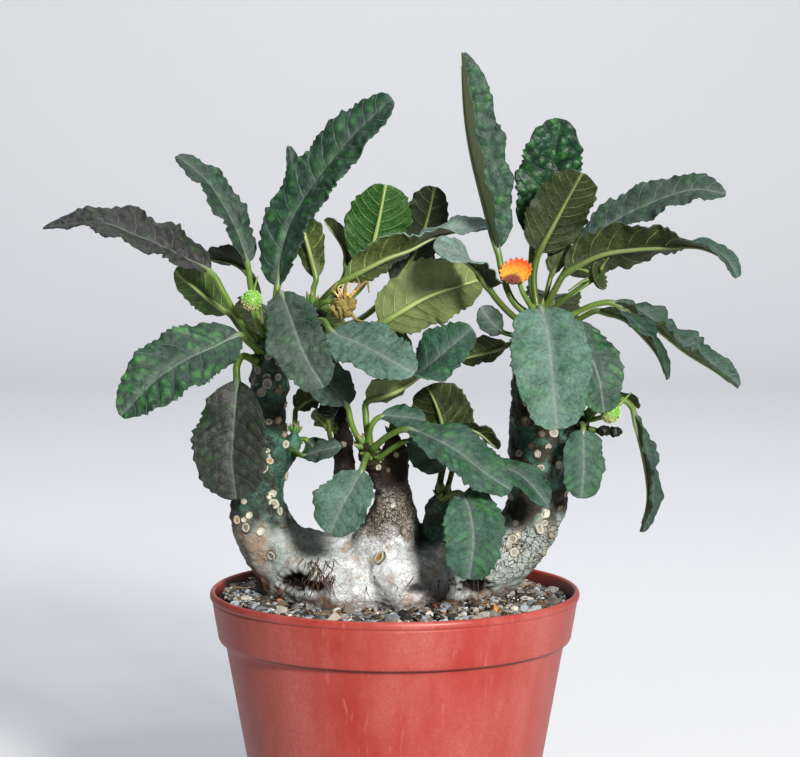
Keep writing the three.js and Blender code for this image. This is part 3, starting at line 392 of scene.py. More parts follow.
def polypropylene(settings):
    """Injection-moulded polypropylene: a soft satin gloss, wiped over with pale lime dust that gathers in
    clouds, rubs and fine scratches, with darker wet runs under the band."""
    material, node, shader = new_material("moulded_polypropylene", {"Roughness": 0.42, "IOR": 1.49})
    place = node("TexCoord", give="Object")
    stretched = node("Mapping", {"Vector": place, "Scale": (1, 1, 0.42)})
    # Clouds of dust about 25 mm across, drawn out down the side
    clouds = node("TexNoise", [stretched, 38, 6, 0.62])
    specks = node("TexNoise", [place, 950, 3])
    dusty = node("MapRange", [clouds, 0.38, 0.72, 0, 0.62])
    gritty = node("MapRange", [specks, 0.4, 0.7, 0.75, 1.2])
    dust = node("Math", [dusty, gritty], operation="MULTIPLY", use_clamp=True)
    # Faint slanting rubs and scratches, less than a millimetre wide
    slant = node("Mapping", {"Vector": place, "Rotation": (0.5, 0.5, 0), "Scale": (1, 1, 0.09)})
    rubs = node("TexNoise", [slant, 620, 2])
    rubbed = node("MapRange", [rubs, 0.6, 0.72, 0, 0.4])
    dust = node("Math", [dust, rubbed], operation="MAXIMUM")
    # Streaks that ran down, 6 mm apart
    streak_place = node("Mapping", {"Vector": place, "Scale": (1, 1, 0.06)})
    streaks = node("TexNoise", [streak_place, 160, 4, 0.7])
    wet = node("MapRange", [streaks, 0.56, 0.72, 0, 0.4])
    base = node("Mix", [wet, settings.plastic, settings.stain], data_type="RGBA")
    colour = node("Mix", [dust, base, settings.dust], data_type="RGBA")
    # Painted shade on the inside, which turns towards the pot's axis: a brown-black that stands in for its
    # shadow
    facing = node("NewGeometry", give="Normal")
    inward = node("VectorMath", {0: facing, 1: place}, operation="DOT_PRODUCT", give="Value")
    painted_inner_shade = node("MapRange", [inward, 0.0, -0.03, 0, 0.75])
    colour = node("Mix", [painted_inner_shade, colour, "#2E2019"], data_type="RGBA")
    matt = node("MapRange", [dust, 0, 1, 0.36, 0.66])
    grain = node("Bump", {"Strength": 0.12, "Distance": 0.0002, "Height": specks})
    shader({"Base Color": colour, "Roughness": matt, "Normal": grain})
    return material


class DORSTENIA_OT_pot(bpy.types.Operator):
    """Turn the pot on its section and drill its drain holes"""

    bl_idname = "dorstenia.pot"
    bl_label = "Pot"

    def execute(self, context):
        settings = context.scene.dorstenia_pot
        profile = np.array(pot_profile(settings))
        angle = np.linspace(0, 2 * math.pi, settings.sides, endpoint=False)
        radius, height = profile.T[..., None]
        rings = np.broadcast_arrays(radius * np.cos(angle), radius * np.sin(angle), height)
        points = np.stack(rings, axis=-1).reshape(-1, 3)
        faces = grid_faces(len(profile), settings.sides, closed=True)
        pot = mesh_object("pot_shell", points, faces, [polypropylene(settings)], "pot_plastic")
        tidy = bmesh.new()
        tidy.from_mesh(pot.data)
        bmesh.ops.remove_doubles(tidy, verts=tidy.verts, dist=1e-6)
        bmesh.ops.recalc_face_normals(tidy, faces=tidy.faces)
        tidy.to_mesh(pot.data)
        tidy.free()
        self.drill(pot)
        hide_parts("pot")
        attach(pot, "root")
        return {"FINISHED"}

    def drill(self, pot):
        """Round drain holes through the floor."""
        tool = bmesh.new()
        radius = DRAIN_RADIUS * MM
        for i in range(DRAIN_HOLES):
            turn = 2 * math.pi * i / DRAIN_HOLES
            spot = Vector((DRAIN_CIRCLE * math.cos(turn), DRAIN_CIRCLE * math.sin(turn), 1.2)) * MM
            bmesh.ops.create_cone(
                tool, cap_ends=True, segments=32, radius1=radius, radius2=radius, depth=8 * MM,
                matrix=Matrix.Translation(spot)
            )
        mesh = bpy.data.meshes.new("drill")
        tool.to_mesh(mesh)
        tool.free()
        drill = add_object("drill", mesh)
        cut = pot.modifiers.new("drain", "BOOLEAN")
        cut.operation = "DIFFERENCE"
        cut.object = drill
        apply_modifiers(pot)
        bpy.data.objects.remove(drill)


def apply_modifiers(piece):
    """Make what the modifiers do part of the mesh."""
    bpy.context.view_layer.update()
    result = bpy.data.meshes.new_from_object(piece.evaluated_get(bpy.context.evaluated_depsgraph_get()))
    old = piece.data
    piece.modifiers.clear()
    piece.data = result
    result.name = piece.name
    bpy.data.meshes.remove(old)


# Woody body

# Each limb's centre line: across, height, depth and radius
LIMBS = {
    "leftArm": [
        (-18, 104, 0, 12), (-34, 109.5, 0, 11.4), (-42.5, 118.5, -1, 10), (-44.3, 126, -1, 9.2),
        (-42.8, 134, -1, 7.2), (-40.6, 142, -1, 6.4), (-41.4, 154.6, -1, 5.8), (-40.6, 166, -1, 6.2),
        (-41, 175, -1, 5.6), (-41.5, 181, -1, 3.4),
    ],
    "rightArm": [
        (-6, 104, 0, 11), (6, 104.5, 0, 12), (18, 105, 0, 12), (31.5, 108.5, 2, 11.4), (41.6, 116.8, 4, 10),
        (45.8, 127.4, 5, 9.6), (46.4, 138, 5, 9.2), (46.2, 148, 5, 8.9), (45.8, 160, 5, 8), (46, 171, 5, 6.8),
        (46.8, 181, 5, 5.6), (47.1, 188, 5, 3.4),
    ],
    "neck": [
        (-4, 106, -3, 14), (-1.5, 117, -6, 10.5), (-0.6, 127, -8, 6.6), (-0.5, 135, -9, 5.2),
        (-0.3, 143, -9, 4.7), (-0.4, 148.5, -9, 2.6),
    ],
    "neckTip": [(-2.4, 134, -9, 4.2), (-5.6, 140, -12, 4), (-8, 143.4, -14, 4), (-8.8, 145, -14.6, 3.4)],
    "rear": [
        (-11, 112, 4, 9), (-15, 124, 11, 5.4), (-16.4, 138, 15, 3.6), (-17, 151, 17, 3.1),
        (-19.4, 165, 18, 3.1), (-23.2, 179, 18, 3.8), (-25.6, 186, 18, 4.2), (-26.6, 190.5, 18, 2.6),
    ],
    "footShoot": [(14, 112, -5, 7), (13.6, 120, -12, 4.6), (14.4, 126, -18, 3.8), (15, 129.5, -21, 2.2)],
    "sideShoot": [(49, 141, 5, 4.5), (56, 146, 4, 4), (60, 151.5, 4, 3.4), (61.2, 154.4, 4, 2)],
    "innerShoot": [(-40, 138, 0, 4), (-36, 142, 4, 3.4), (-33.4, 147, 6, 3), (-32.6, 150, 6.4, 1.8)],
}
SWELLINGS = [((-15, 103.5, 1), (29, 21, 14.5)), ((3, 103, -9), (15, 13, 12.5))]

# Hollows at the foot as seen from the front: across, height, radius and depth
HOLLOWS = [(-32.6, 102.4, 4.6, 4), (-26.5, 100.2, 3.6, 3), (26, 100.2, 5, 3), (7, 99.4, 3, 2)]


def limb_line(name):
    """A limb's smooth centre line, in mm."""
    return Spline([from_front(row[:3]) for row in LIMBS[name]])


def limb_radius(name, t):
    """A limb's radius at a parameter of its centre line."""
    rows = LIMBS[name]
    return np.interp(np.asarray(t) * (len(rows) - 1), np.arange(len(rows)), [row[3] for row in rows])


def limb_part(name, seed):
    """A limb as a lumpy tube with a domed end."""
    line = limb_line(name)
    share = np.linspace(0, 1, 60)
    centres, ahead = line.walk(share)
    radii = limb_radius(name, line.parameter(share))
    dome = np.array([[0.35, 0.93], [0.7, 0.7], [0.9, 0.42], [1.0, 0.1]])
    centres = np.vstack([centres, centres[-1] + ahead[-1] * dome[:, :1] * radii[-1]])
    radii = np.concatenate([radii, dome[:, 1] * radii[-1]])
    angle = np.linspace(0, 2 * math.pi, 28, endpoint=False)
    along = np.arange(len(radii))[:, None] / 60 * len(LIMBS[name]) * 1.35
    uneven = 1 + 0.045 * np.sin(3 * angle + 1.7 * along + seed) + 0.03 * np.sin(5 * angle - along)
    return tube(centres, radii[:, None] * uneven, 28)


def swelling_part(at, radii):
    """A lumpy rounded swelling of the caudex."""
    points, faces = icosphere(4)
    lump = 1 + 0.05 * np.sin(5 * points[:, 0] + 2 * points[:, 2]) * np.cos(4 * points[:, 1])
    return from_front(at) + points * np.array(radii) * lump[:, None], faces


def fractal(points, scale, octaves=4, seed=0.0):
    """Smooth noise from -1 to 1 at points in mm; scale is the size of its lumps in mm."""
    return np.array(
        [noise.fractal(Vector(p / scale) + Vector((seed, -seed, seed)), 1.0, 2.0, octaves) for p in points]
    )


def crack_depth(points, cell, seed=0.0):
    """1 in the middle of the fissures between plates of bark of about cell mm, 0 on the plates."""
    depth = []
    for p in points:
        warp = noise.noise_vector(Vector(p / (cell * 1.6))) * 0.5
        near = noise.voronoi(Vector(p / cell) + warp + Vector((seed, seed, seed)))[0]
        depth.append(1 - min((near[1] - near[0]) / 0.16, 1))
    return np.array(depth)


# Leaf scars seen from the front: how far across, how high, radius, and whether the cork is pale (0), white
# all over (1), dark (2, painted shade on the scars that lie in the stems' shade) or orange (3). The rest wind
# up the stems.
FRONT_SCARS = [
    (-41.2, 175.3, 1.11, 0), (-38.0, 173.3, 0.98, 2), (-36.0, 171.3, 0.98, 2), (-44.5, 170.9, 1.3, 0),
    (-41.7, 168.6, 1.14, 0), (-41.5, 166.5, 1.63, 0), (-44.8, 167.3, 1.63, 3), (-43.3, 163.7, 1.5, 1),
    (-37.5, 165.5, 0.78, 2), (-38.0, 164.1, 1.3, 2), (-35.7, 159.5, 1.11, 2), (-38.0, 154.6, 1.3, 2),
    (-36.0, 149.8, 1.11, 2), (-35.5, 146.7, 1.3, 0), (-41.4, 144.6, 0.85, 1), (-41.7, 142.9, 1.3, 0),
    (-43.0, 139.0, 1.63, 0), (-40.6, 141.3, 1.11, 3), (-35.3, 136.4, 1.3, 0), (-39.8, 130.6, 1.3, 1),
    (-40.9, 129.4, 0.78, 1), (-39.4, 127.3, 1.63, 0), (-47.4, 123.5, 1.11, 1), (-49.1, 122.1, 0.85, 1),
    (-48.4, 119.6, 1.5, 0), (-36.7, 120.5, 1.4, 2), (-51.3, 122.1, 1.3, 3), (-40.2, 110.4, 1.5, 0),
    (47.1, 119.2, 1.63, 0), (48.7, 121.1, 1.11, 0), (38.3, 115.9, 1.5, 0), (40.2, 116.9, 0.98, 1),
    (50.8, 117.2, 1.17, 2), (42.6, 154.3, 1.5, 2), (51.7, 150.4, 1.43, 0), (46.4, 143.6, 1.17, 1),
    (47.3, 139.0, 1.3, 0), (44.3, 146.2, 1.04, 2), (40.7, 138.4, 1.11, 2), (49.9, 131.2, 1.24, 0),
    (45.0, 129.6, 1.04, 1), (53.8, 126.0, 1.17, 2), (49.9, 145.9, 1.04, 1), (-5.1, 109.8, 2.02, 3),
    (3.0, 118.5, 1.3, 2), (-2.2, 138.4, 0.85, 2), (-4.8, 141.6, 0.78, 1), (0.4, 143.3, 0.91, 1),
]
SCARRED = [
    ("leftArm", 0.34, 0.96, 34, 1.35),
    ("rightArm", 0.36, 0.95, 36, 1.45),
    ("neck", 0.55, 0.85, 6, 1.0),
    ("rear", 0.45, 0.95, 16, 0.95),
]


def ring_scar(centre, outward, radius, rng):
    """The corky ring that a fallen leaf leaves, with a sunken middle."""
    # Shares of the radius, and heights above the bark in mm, from the rim's foot to the middle
    shares = (1.22, 1.1, 0.98, 0.8, 0.64, 0.42, 0.2, 0.03)
    profile = np.array([shares, (-0.45, 0.1, 0.34, 0.4, 0.24, 0.1, 0.16, 0.2)]).T
    sides = 18
    angle = np.linspace(0, 2 * math.pi, sides, endpoint=False)
    hint = np.array([0.2, 0.3, 1.0]) + 0.2 * rng.standard_normal(3)
    normal, across = cross_frame(outward, hint)
    wobble = 1 + 0.07 * np.sin(2 * angle + rng.uniform(0, 6)) + 0.05 * np.sin(5 * angle + rng.uniform(0, 6))
    reach = radius * profile[:, :1] * wobble
    lift = profile[:, 1:] * (0.75 + 0.25 * radius) * (1 + 0.2 * np.sin(3 * angle + rng.uniform(0, 6)))
    way = across * np.cos(angle)[:, None] + normal * np.sin(angle)[:, None]
    points = centre + reach[..., None] * way + lift[..., None] * outward
    faces = ring_faces(len(profile), sides, start_cap=False)
    return points.reshape(-1, 3), faces, np.repeat(profile[:, 0], sides)


def scar_places(bark, rng):
    """Where every scar sits on the bark: place, direction outwards, radius and kind of cork."""
    places = []
    for across, height, radius, kind in FRONT_SCARS:
        hit, outward = seen_on(bark, across, height)
        if hit:
            places.append((hit, outward, radius, kind))
    for name, low, high, count, radius in SCARRED:
        line = limb_line(name)
        for i in range(count):
            share = low + (high - low) * (i + rng.uniform(-0.3, 0.3)) / count
            centre, ahead = line.walk(share)
            normal, across = cross_frame(ahead[0], np.array([0.0, -1.0, 0.0]))
            turn = GOLDEN_ANGLE * i
            outward = Vector(normal * math.cos(turn) + across * math.sin(turn))
            hit, face, _, _ = bark.ray_cast(Vector(centre[0]) + 30 * outward, -outward)
            if hit and all((hit - other[0]).length >= 0.9 * (radius + other[2]) for other in places):
                places.append((hit, face, radius * rng.uniform(0.7, 1.2), int(rng.choice([0, 0, 1, 2]))))
    return places


def make_scars(bark, settings):
    """All the leaf scars as one piece."""
    rng = np.random.default_rng(11)
    parts, rings = [], []
    for centre, outward, radius, kind in scar_places(bark, rng):
        points, faces, ring = ring_scar(np.array(centre), np.array(outward), radius, rng)
        parts.append((points, faces))
        rings.append(np.stack([ring, np.full(len(ring), kind), np.full(len(ring), rng.uniform())], axis=-1))
    points, faces = join_parts(parts)
    return mesh_object("leaf_scars", points, faces, [cork(settings)], "bark", ring=np.vstack(rings))


def cork(settings):
    """Cork of a leaf scar: a raised cream rim round a darker middle, dull and finely cracked."""
    material, node, shader = new_material("scar_cork", {"Roughness": 0.78})
    ring, kind, _ = stored(node, "ring")
    crumbs = node("TexNoise", [node("TexCoord", give="Object"), 1600, 4])
    white, dark, orange = (node("Math", [kind, number, 0.4], operation="COMPARE") for number in (1, 2, 3))
    hollow = node("Mix", [orange, "#87837A", "#A08055"], data_type="RGBA")
    hollow = node("Mix", [white, hollow, "#B8B9AB"], data_type="RGBA")
    middle = node("MapRange", [ring, 0.74, 0.5])
    foot = node("MapRange", [ring, 1.0, 1.14])
    base = node("Mix", [crumbs, "#97938A", settings.scar], data_type="RGBA")
    # Dark cork: painted shade on the front scars in the stems' shade, and a darker cork at random on some of
    # the scars that wind up the stems
    for share, colour in ((dark, "#6F6450"), (middle, hollow), (foot, "#4C4A3C")):
        base = node("Mix", [share, base, colour], data_type="RGBA")
    bump = node("Bump", {"Strength": 0.5, "Distance": 0.0003, "Height": crumbs})
    shader({"Base Color": base, "Normal": bump})
    return material


def make_roots(bark):
    """Fine dry roots that hang from the caudex onto the grit, most of them from the left foot's hollows."""
    rng = np.random.default_rng(5)
    parts = []
    for _ in range(70):
        low, high = ((-30, 102), (-19, 110)) if len(parts) < 50 else ((-40, 100), (30, 104.5))
        hit, outward = seen_on(bark, *rng.uniform(low, high))
        if hit is None:
            continue
        hit, outward = np.array(hit), np.array(outward)
        length = rng.uniform(3.5, 8)
        drift = rng.uniform(-0.7, 0.9)
        steps = np.linspace(0, 1, 8)[:, None]
        fall = np.array([drift, -0.9, -1.0]) * length * 0.8
        curl = np.sin(steps * rng.uniform(2, 6) + rng.uniform(0, 6)) * np.array([[0.8, 0.3, 0.2]])
        path = hit + outward * 0.9 * np.sin(steps * math.pi * 0.6) + fall * steps**1.4 + curl * steps
        path[:, 2] = np.maximum(path[:, 2], STONES_LEVEL)
        parts.append(tube(path, np.linspace(0.16, 0.05, 8) * rng.uniform(0.6, 1.3), 5))
    points, faces = join_parts(parts)
    material, node, shader = new_material("dry_root", {"Roughness": 0.85})
    fade = node("TexNoise", [node("TexCoord", give="Object"), 300, 3])
    shader({"Base Color": node("Mix", [fade, "#261B13", "#705640"], data_type="RGBA")})
    return mesh_object("fine_roots", points, faces, [material], "bark")


class DORSTENIA_OT_caudex(bpy.types.Operator):
    """Grow the limbs and swellings together into one body of bark, with leaf scars and fine roots"""

    bl_idname = "dorstenia.caudex"
    bl_label = "Caudex"

    def execute(self, context):
        settings = context.scene.dorstenia_caudex
        parts = [limb_part(name, seed) for seed, name in enumerate(LIMBS)]
        parts += [swelling_part(at, radii) for at, radii in SWELLINGS]
        points, faces = join_parts(parts)
        body = mesh_object("bark", points, faces, [], "bark")
        remesh = body.modifiers.new("grown together", "REMESH")
        remesh.mode = "VOXEL"
        remesh.voxel_size = settings.grain
        soften = body.modifiers.new("soften", "SMOOTH")
        soften.factor = 0.5
        soften.iterations = 9
        apply_modifiers(body)
        self.weather(body)
        body.data.materials.append(bark_skin(settings))
        body.data.polygons.foreach_set("use_smooth", [True] * len(body.data.polygons))
        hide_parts("caudex")
        bark = surface_of(body)
        for piece in (body, make_scars(bark, settings), make_roots(bark)):
            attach(piece, "root")
        return {"FINISHED"}

    def weather(self, body):
        """Lumps, hollows, cracks and age of the bark."""
        mesh = body.data
        points = np.array([v.co for v in mesh.vertices]) / MM
        normals = np.array([v.normal for v in mesh.vertices])
        x, y, height = points.T
        lumps = fractal(points, 9, 3)
        knobs = fractal(points, 4.2, 3, 2.0)
        fine = fractal(points, 1.9, 3, 5.0)
        left, right = x < -27, x > 30
        young = np.where(left, smooth(119, 126, height + 4 * knobs), smooth(117, 131, height + 8 * lumps))
        shoot = (np.abs(x - 14) < 8) & (y < 0)
        young = np.where(left | right, young, np.where(shoot, smooth(113, 119, height + 3 * lumps), 0))
        crusted = 0.9 * smooth(-0.05, 0.25, fractal(points, 7, 3, 4.0) + 0.35 * smooth(138, 126, height))
        crusted = crusted * smooth(118, 124, height) * np.where(right, 1, np.where(left, 0.5, 0))
        brown = np.where(left | right | shoot, crusted, smooth(131, 140, height + 3 * lumps))
        earth = 1 - smooth(96, 102, height + 4 * lumps - 5 * smooth(-33, -42, x))
        lobe = smooth(24, 33, x) * smooth(100, 107, height) * (1 - smooth(116, 124, height + 6 * lumps))
        middle = 0.75 * smooth(112, 121, height) * smooth(-20, -14, -np.abs(x))
        cracked = np.maximum(lobe, middle) * (1 - young)
        cracks = crack_depth(points, 3.0) * cracked
        wrinkles = (1 - young) * fractal(points * (1, 1, 2.2), 2.6, 4, 9.0)
        hollow = self.hollows(points, normals)
        shift = 0.35 * lumps + 0.24 * fine + 0.62 * knobs * (0.45 + 0.55 * young)
        shift = shift + 0.3 * wrinkles - 0.3 * cracks + 0.6 * brown * fractal(points, 2.6, 3, 12.0) - hollow
        points += normals * shift[:, None]
        mesh.vertices.foreach_set("co", (points * MM).astype(np.float32).ravel())
        net = smooth(117, 124, height + 3 * lumps) * (1 - (left | right)) * (1 - smooth(138, 143, height))
        add_attributes(
            mesh,
            {
                "age": np.stack([young, brown, earth], axis=-1),
                "wear": np.stack([cracked, net, hollow], axis=-1)
            }
        )
        mesh.update()

    def hollows(self, points, normals):
        """Depth of the hollows under the lobes at the foot, as seen from the front."""
        depth = np.zeros(len(points))
        ragged = 1 + 0.45 * fractal(points, 2.4, 3, 3.0)
        for across, height, radius, deep in HOLLOWS:
            sight = sight_to(across, height)
            off = points - EYE
            aside = np.linalg.norm((off - (off @ sight)[:, None] * sight) * (1, 1, 1.7), axis=1) * ragged
            depth += deep * np.exp(-((aside / radius) ** 4)) * smooth(0.0, 0.6, -normals @ sight)
        return depth


def bark_skin(settings):
    """Living bark: dull silvery skin with pale and grey clouds, tan rubbed patches, pores and dark fissures
    on the old base, brown and netted up the neck, and a smooth blackish green with a waxy bloom on the
    stems."""
    material, node, shader = new_material("silvery_bark", {"Roughness": 0.62, "IOR": 1.45})
    place = node("TexCoord", give="Object")
    young, brown, low = stored(node, "age")
    cracked, netted, hollow = stored(node, "wear")
    # Clouds of grey and white 8 mm across, broken up by grain finer than a millimetre
    clouds = node("TexNoise", [place, 130, 8, 0.7])
    grain = node("TexNoise", [place, 1100, 5, 0.75])
    mixed = node("Math", [grain, 0.5, clouds], operation="MULTIPLY_ADD")
    mottle = node("MapRange", [mixed, 0.54, 0.86])
    # A greenish cast on the lobes that carry the arms
    across = node("SeparateXYZ", [place]).node.outputs["X"]
    aside = node("Math", [across], operation="ABSOLUTE")
    cast = node("MapRange", [aside, 0.012, 0.038, 0, 0.72])
    # Tan plates up the neck, between the meshes of the net
    plate = node("Math", [netted, 0.8], operation="MULTIPLY")
    # Tan and pinkish patches where the skin has rubbed, most of them low down
    rub = node("TexNoise", [place, 170, 6, 0.72])
    lower = node("Math", [low, 0.1, rub], operation="MULTIPLY_ADD")
    outer = node("MapRange", [across, -0.034, -0.048, 0, 0.1])
    lower = node("Math", [lower, outer], operation="ADD")
    rubbed = node("MapRange", [lower, 0.52, 0.66, 0, 0.68])
    # Stems: blackish green with a teal bloom, and a brown crust in places
    waxy = node("TexNoise", [place, 150, 7, 0.66])
    bloom = node("MapRange", [waxy, 0.44, 0.64])
    green = node("Mix", [bloom, "#131C14", settings.young], data_type="RGBA")
    film = node("MapRange", [mixed, 0.72, 0.92, 0, 0.7])
    green = node("Mix", [film, green, "#5F8D7F"], data_type="RGBA")
    crust = node("Mix", [mottle, "#0B0805", "#372C22"], data_type="RGBA")
    # Fissures between plates 2 mm across, thin as hairs, and a net of 1 mm meshes on the neck
    warp = node("TexNoise", [place, 400, 2], give="Color")
    bent = node("VectorMath", [warp, (0.004, 0.004, 0.002), place], operation="MULTIPLY_ADD")
    to_edge = dict(feature="DISTANCE_TO_EDGE", give="Distance")
    lines = []
    for scale, wide, where in ((470, 0.08, cracked), (800, 0.13, netted)):
        plates = node("TexVoronoi", [bent, scale], **to_edge)
        line = node("MapRange", [plates, wide, wide / 4])
        lines.append(node("Math", [line, where], operation="MULTIPLY"))
    fissure = node("Math", lines, operation="MAXIMUM")
    patchy = node("MapRange", [rub, 0.36, 0.46])
    fissure = node("Math", [fissure, patchy], operation="MULTIPLY")
    # Faint hair cracks all over the dry skin, 5 mm apart
    hair = node("TexVoronoi", [bent, 210], **to_edge)
    hair = node("MapRange", [hair, 0.03, 0.008, 0, 0.32])
    fissure = node("Math", [fissure, hair], operation="MAXIMUM")
    # Pores and dark lichen dots half a millimetre across, drawn a little coarse to show
    pores = node("TexVoronoi", [place, 1300], give="Distance")
    dots = node("MapRange", [pores, 0.28, 0.12, 0, 0.85])
    some = node("MapRange", [waxy, 0.46, 0.56])
    dots = node("Math", [dots, some], operation="MULTIPLY")
    dark = node("Math", [fissure, dots], operation="MAXIMUM", use_clamp=True)
    # Earth on the foot, and painted shade, near black, in the hollows under the lobes
    soiled = node("MapRange", [rub, 0.36, 0.6, 0, 0.9])
    soiled = node("Math", [soiled, low], operation="MULTIPLY")
    deep = node("MapRange", [hollow, 0.8, 2.2])
    base = node("Mix", [mottle, "#8C9290", settings.bark], data_type="RGBA")
    for share, colour in (
        (cast, "#808D84"), (plate, "#7F7568"), (rubbed, "#97765C"), (young, green),
        (brown, crust), (dark, settings.crack), (soiled, settings.earth), (deep, "#130D09"),
    ):
        base = node("Mix", [share, base, colour], data_type="RGBA")
    rough = node("MapRange", [young, 0, 1, 0.7, 0.45])
    # Wrinkles 2 mm apart that lie across the lobes
    lying = node("Mapping", {"Vector": place, "Scale": (1, 1, 2.4)})
    wrinkle = node("TexNoise", [lying, 330, 6, 0.7])
    sunk = node("Math", [wrinkle, 1.6, grain], operation="MULTIPLY_ADD")
    sunk = node("Math", [dark, -0.8, sunk], operation="MULTIPLY_ADD")
    bump = node("Bump", {"Strength": 0.65, "Distance": 0.0006, "Height": sunk})
    shader({"Base Color": base, "Roughness": rough, "Normal": bump})
    return material


# Leaves

LONG = (0.7, 0.5)
BROAD = (0.58, 0.5)
ROUND = (0.42, 0.45)
EVEN = (0.55, 0.62)
STRAP = (0.42, 0.44)
POINTED = (0.6, 0.85)


def leaf(
    name, limb, slot, width, fold, ripple, form, face, stalk, blade, tip_face=None, tint=(0, 0, 0, 0, 0)
):
    """A leaf's midrib runs through its stalk points and then its blade points. The face is the way that the
    upper side looks at the blade's base and at its tip, fold the degrees by which each half rises from flat
    and ripple the height of the waved edge. Form tells how fast the blade widens and narrows. Tint is how
    purple, how frosted and how blotched the upper side is, then the underside's painted light level, which
    paints a greener underside above 0 and painted shade below 0, and how pale the underside is, a paleness
    that on some leaves is painted light on an underside that the lamps leave dark."""
    return dict(
        name=name, limb=limb, slot=slot, width=width, fold=math.radians(fold), ripple=ripple, form=form,
        face=np.array(face), tip_face=np.array(tip_face or face), stalk=stalk, blade=blade, tint=tint
    )


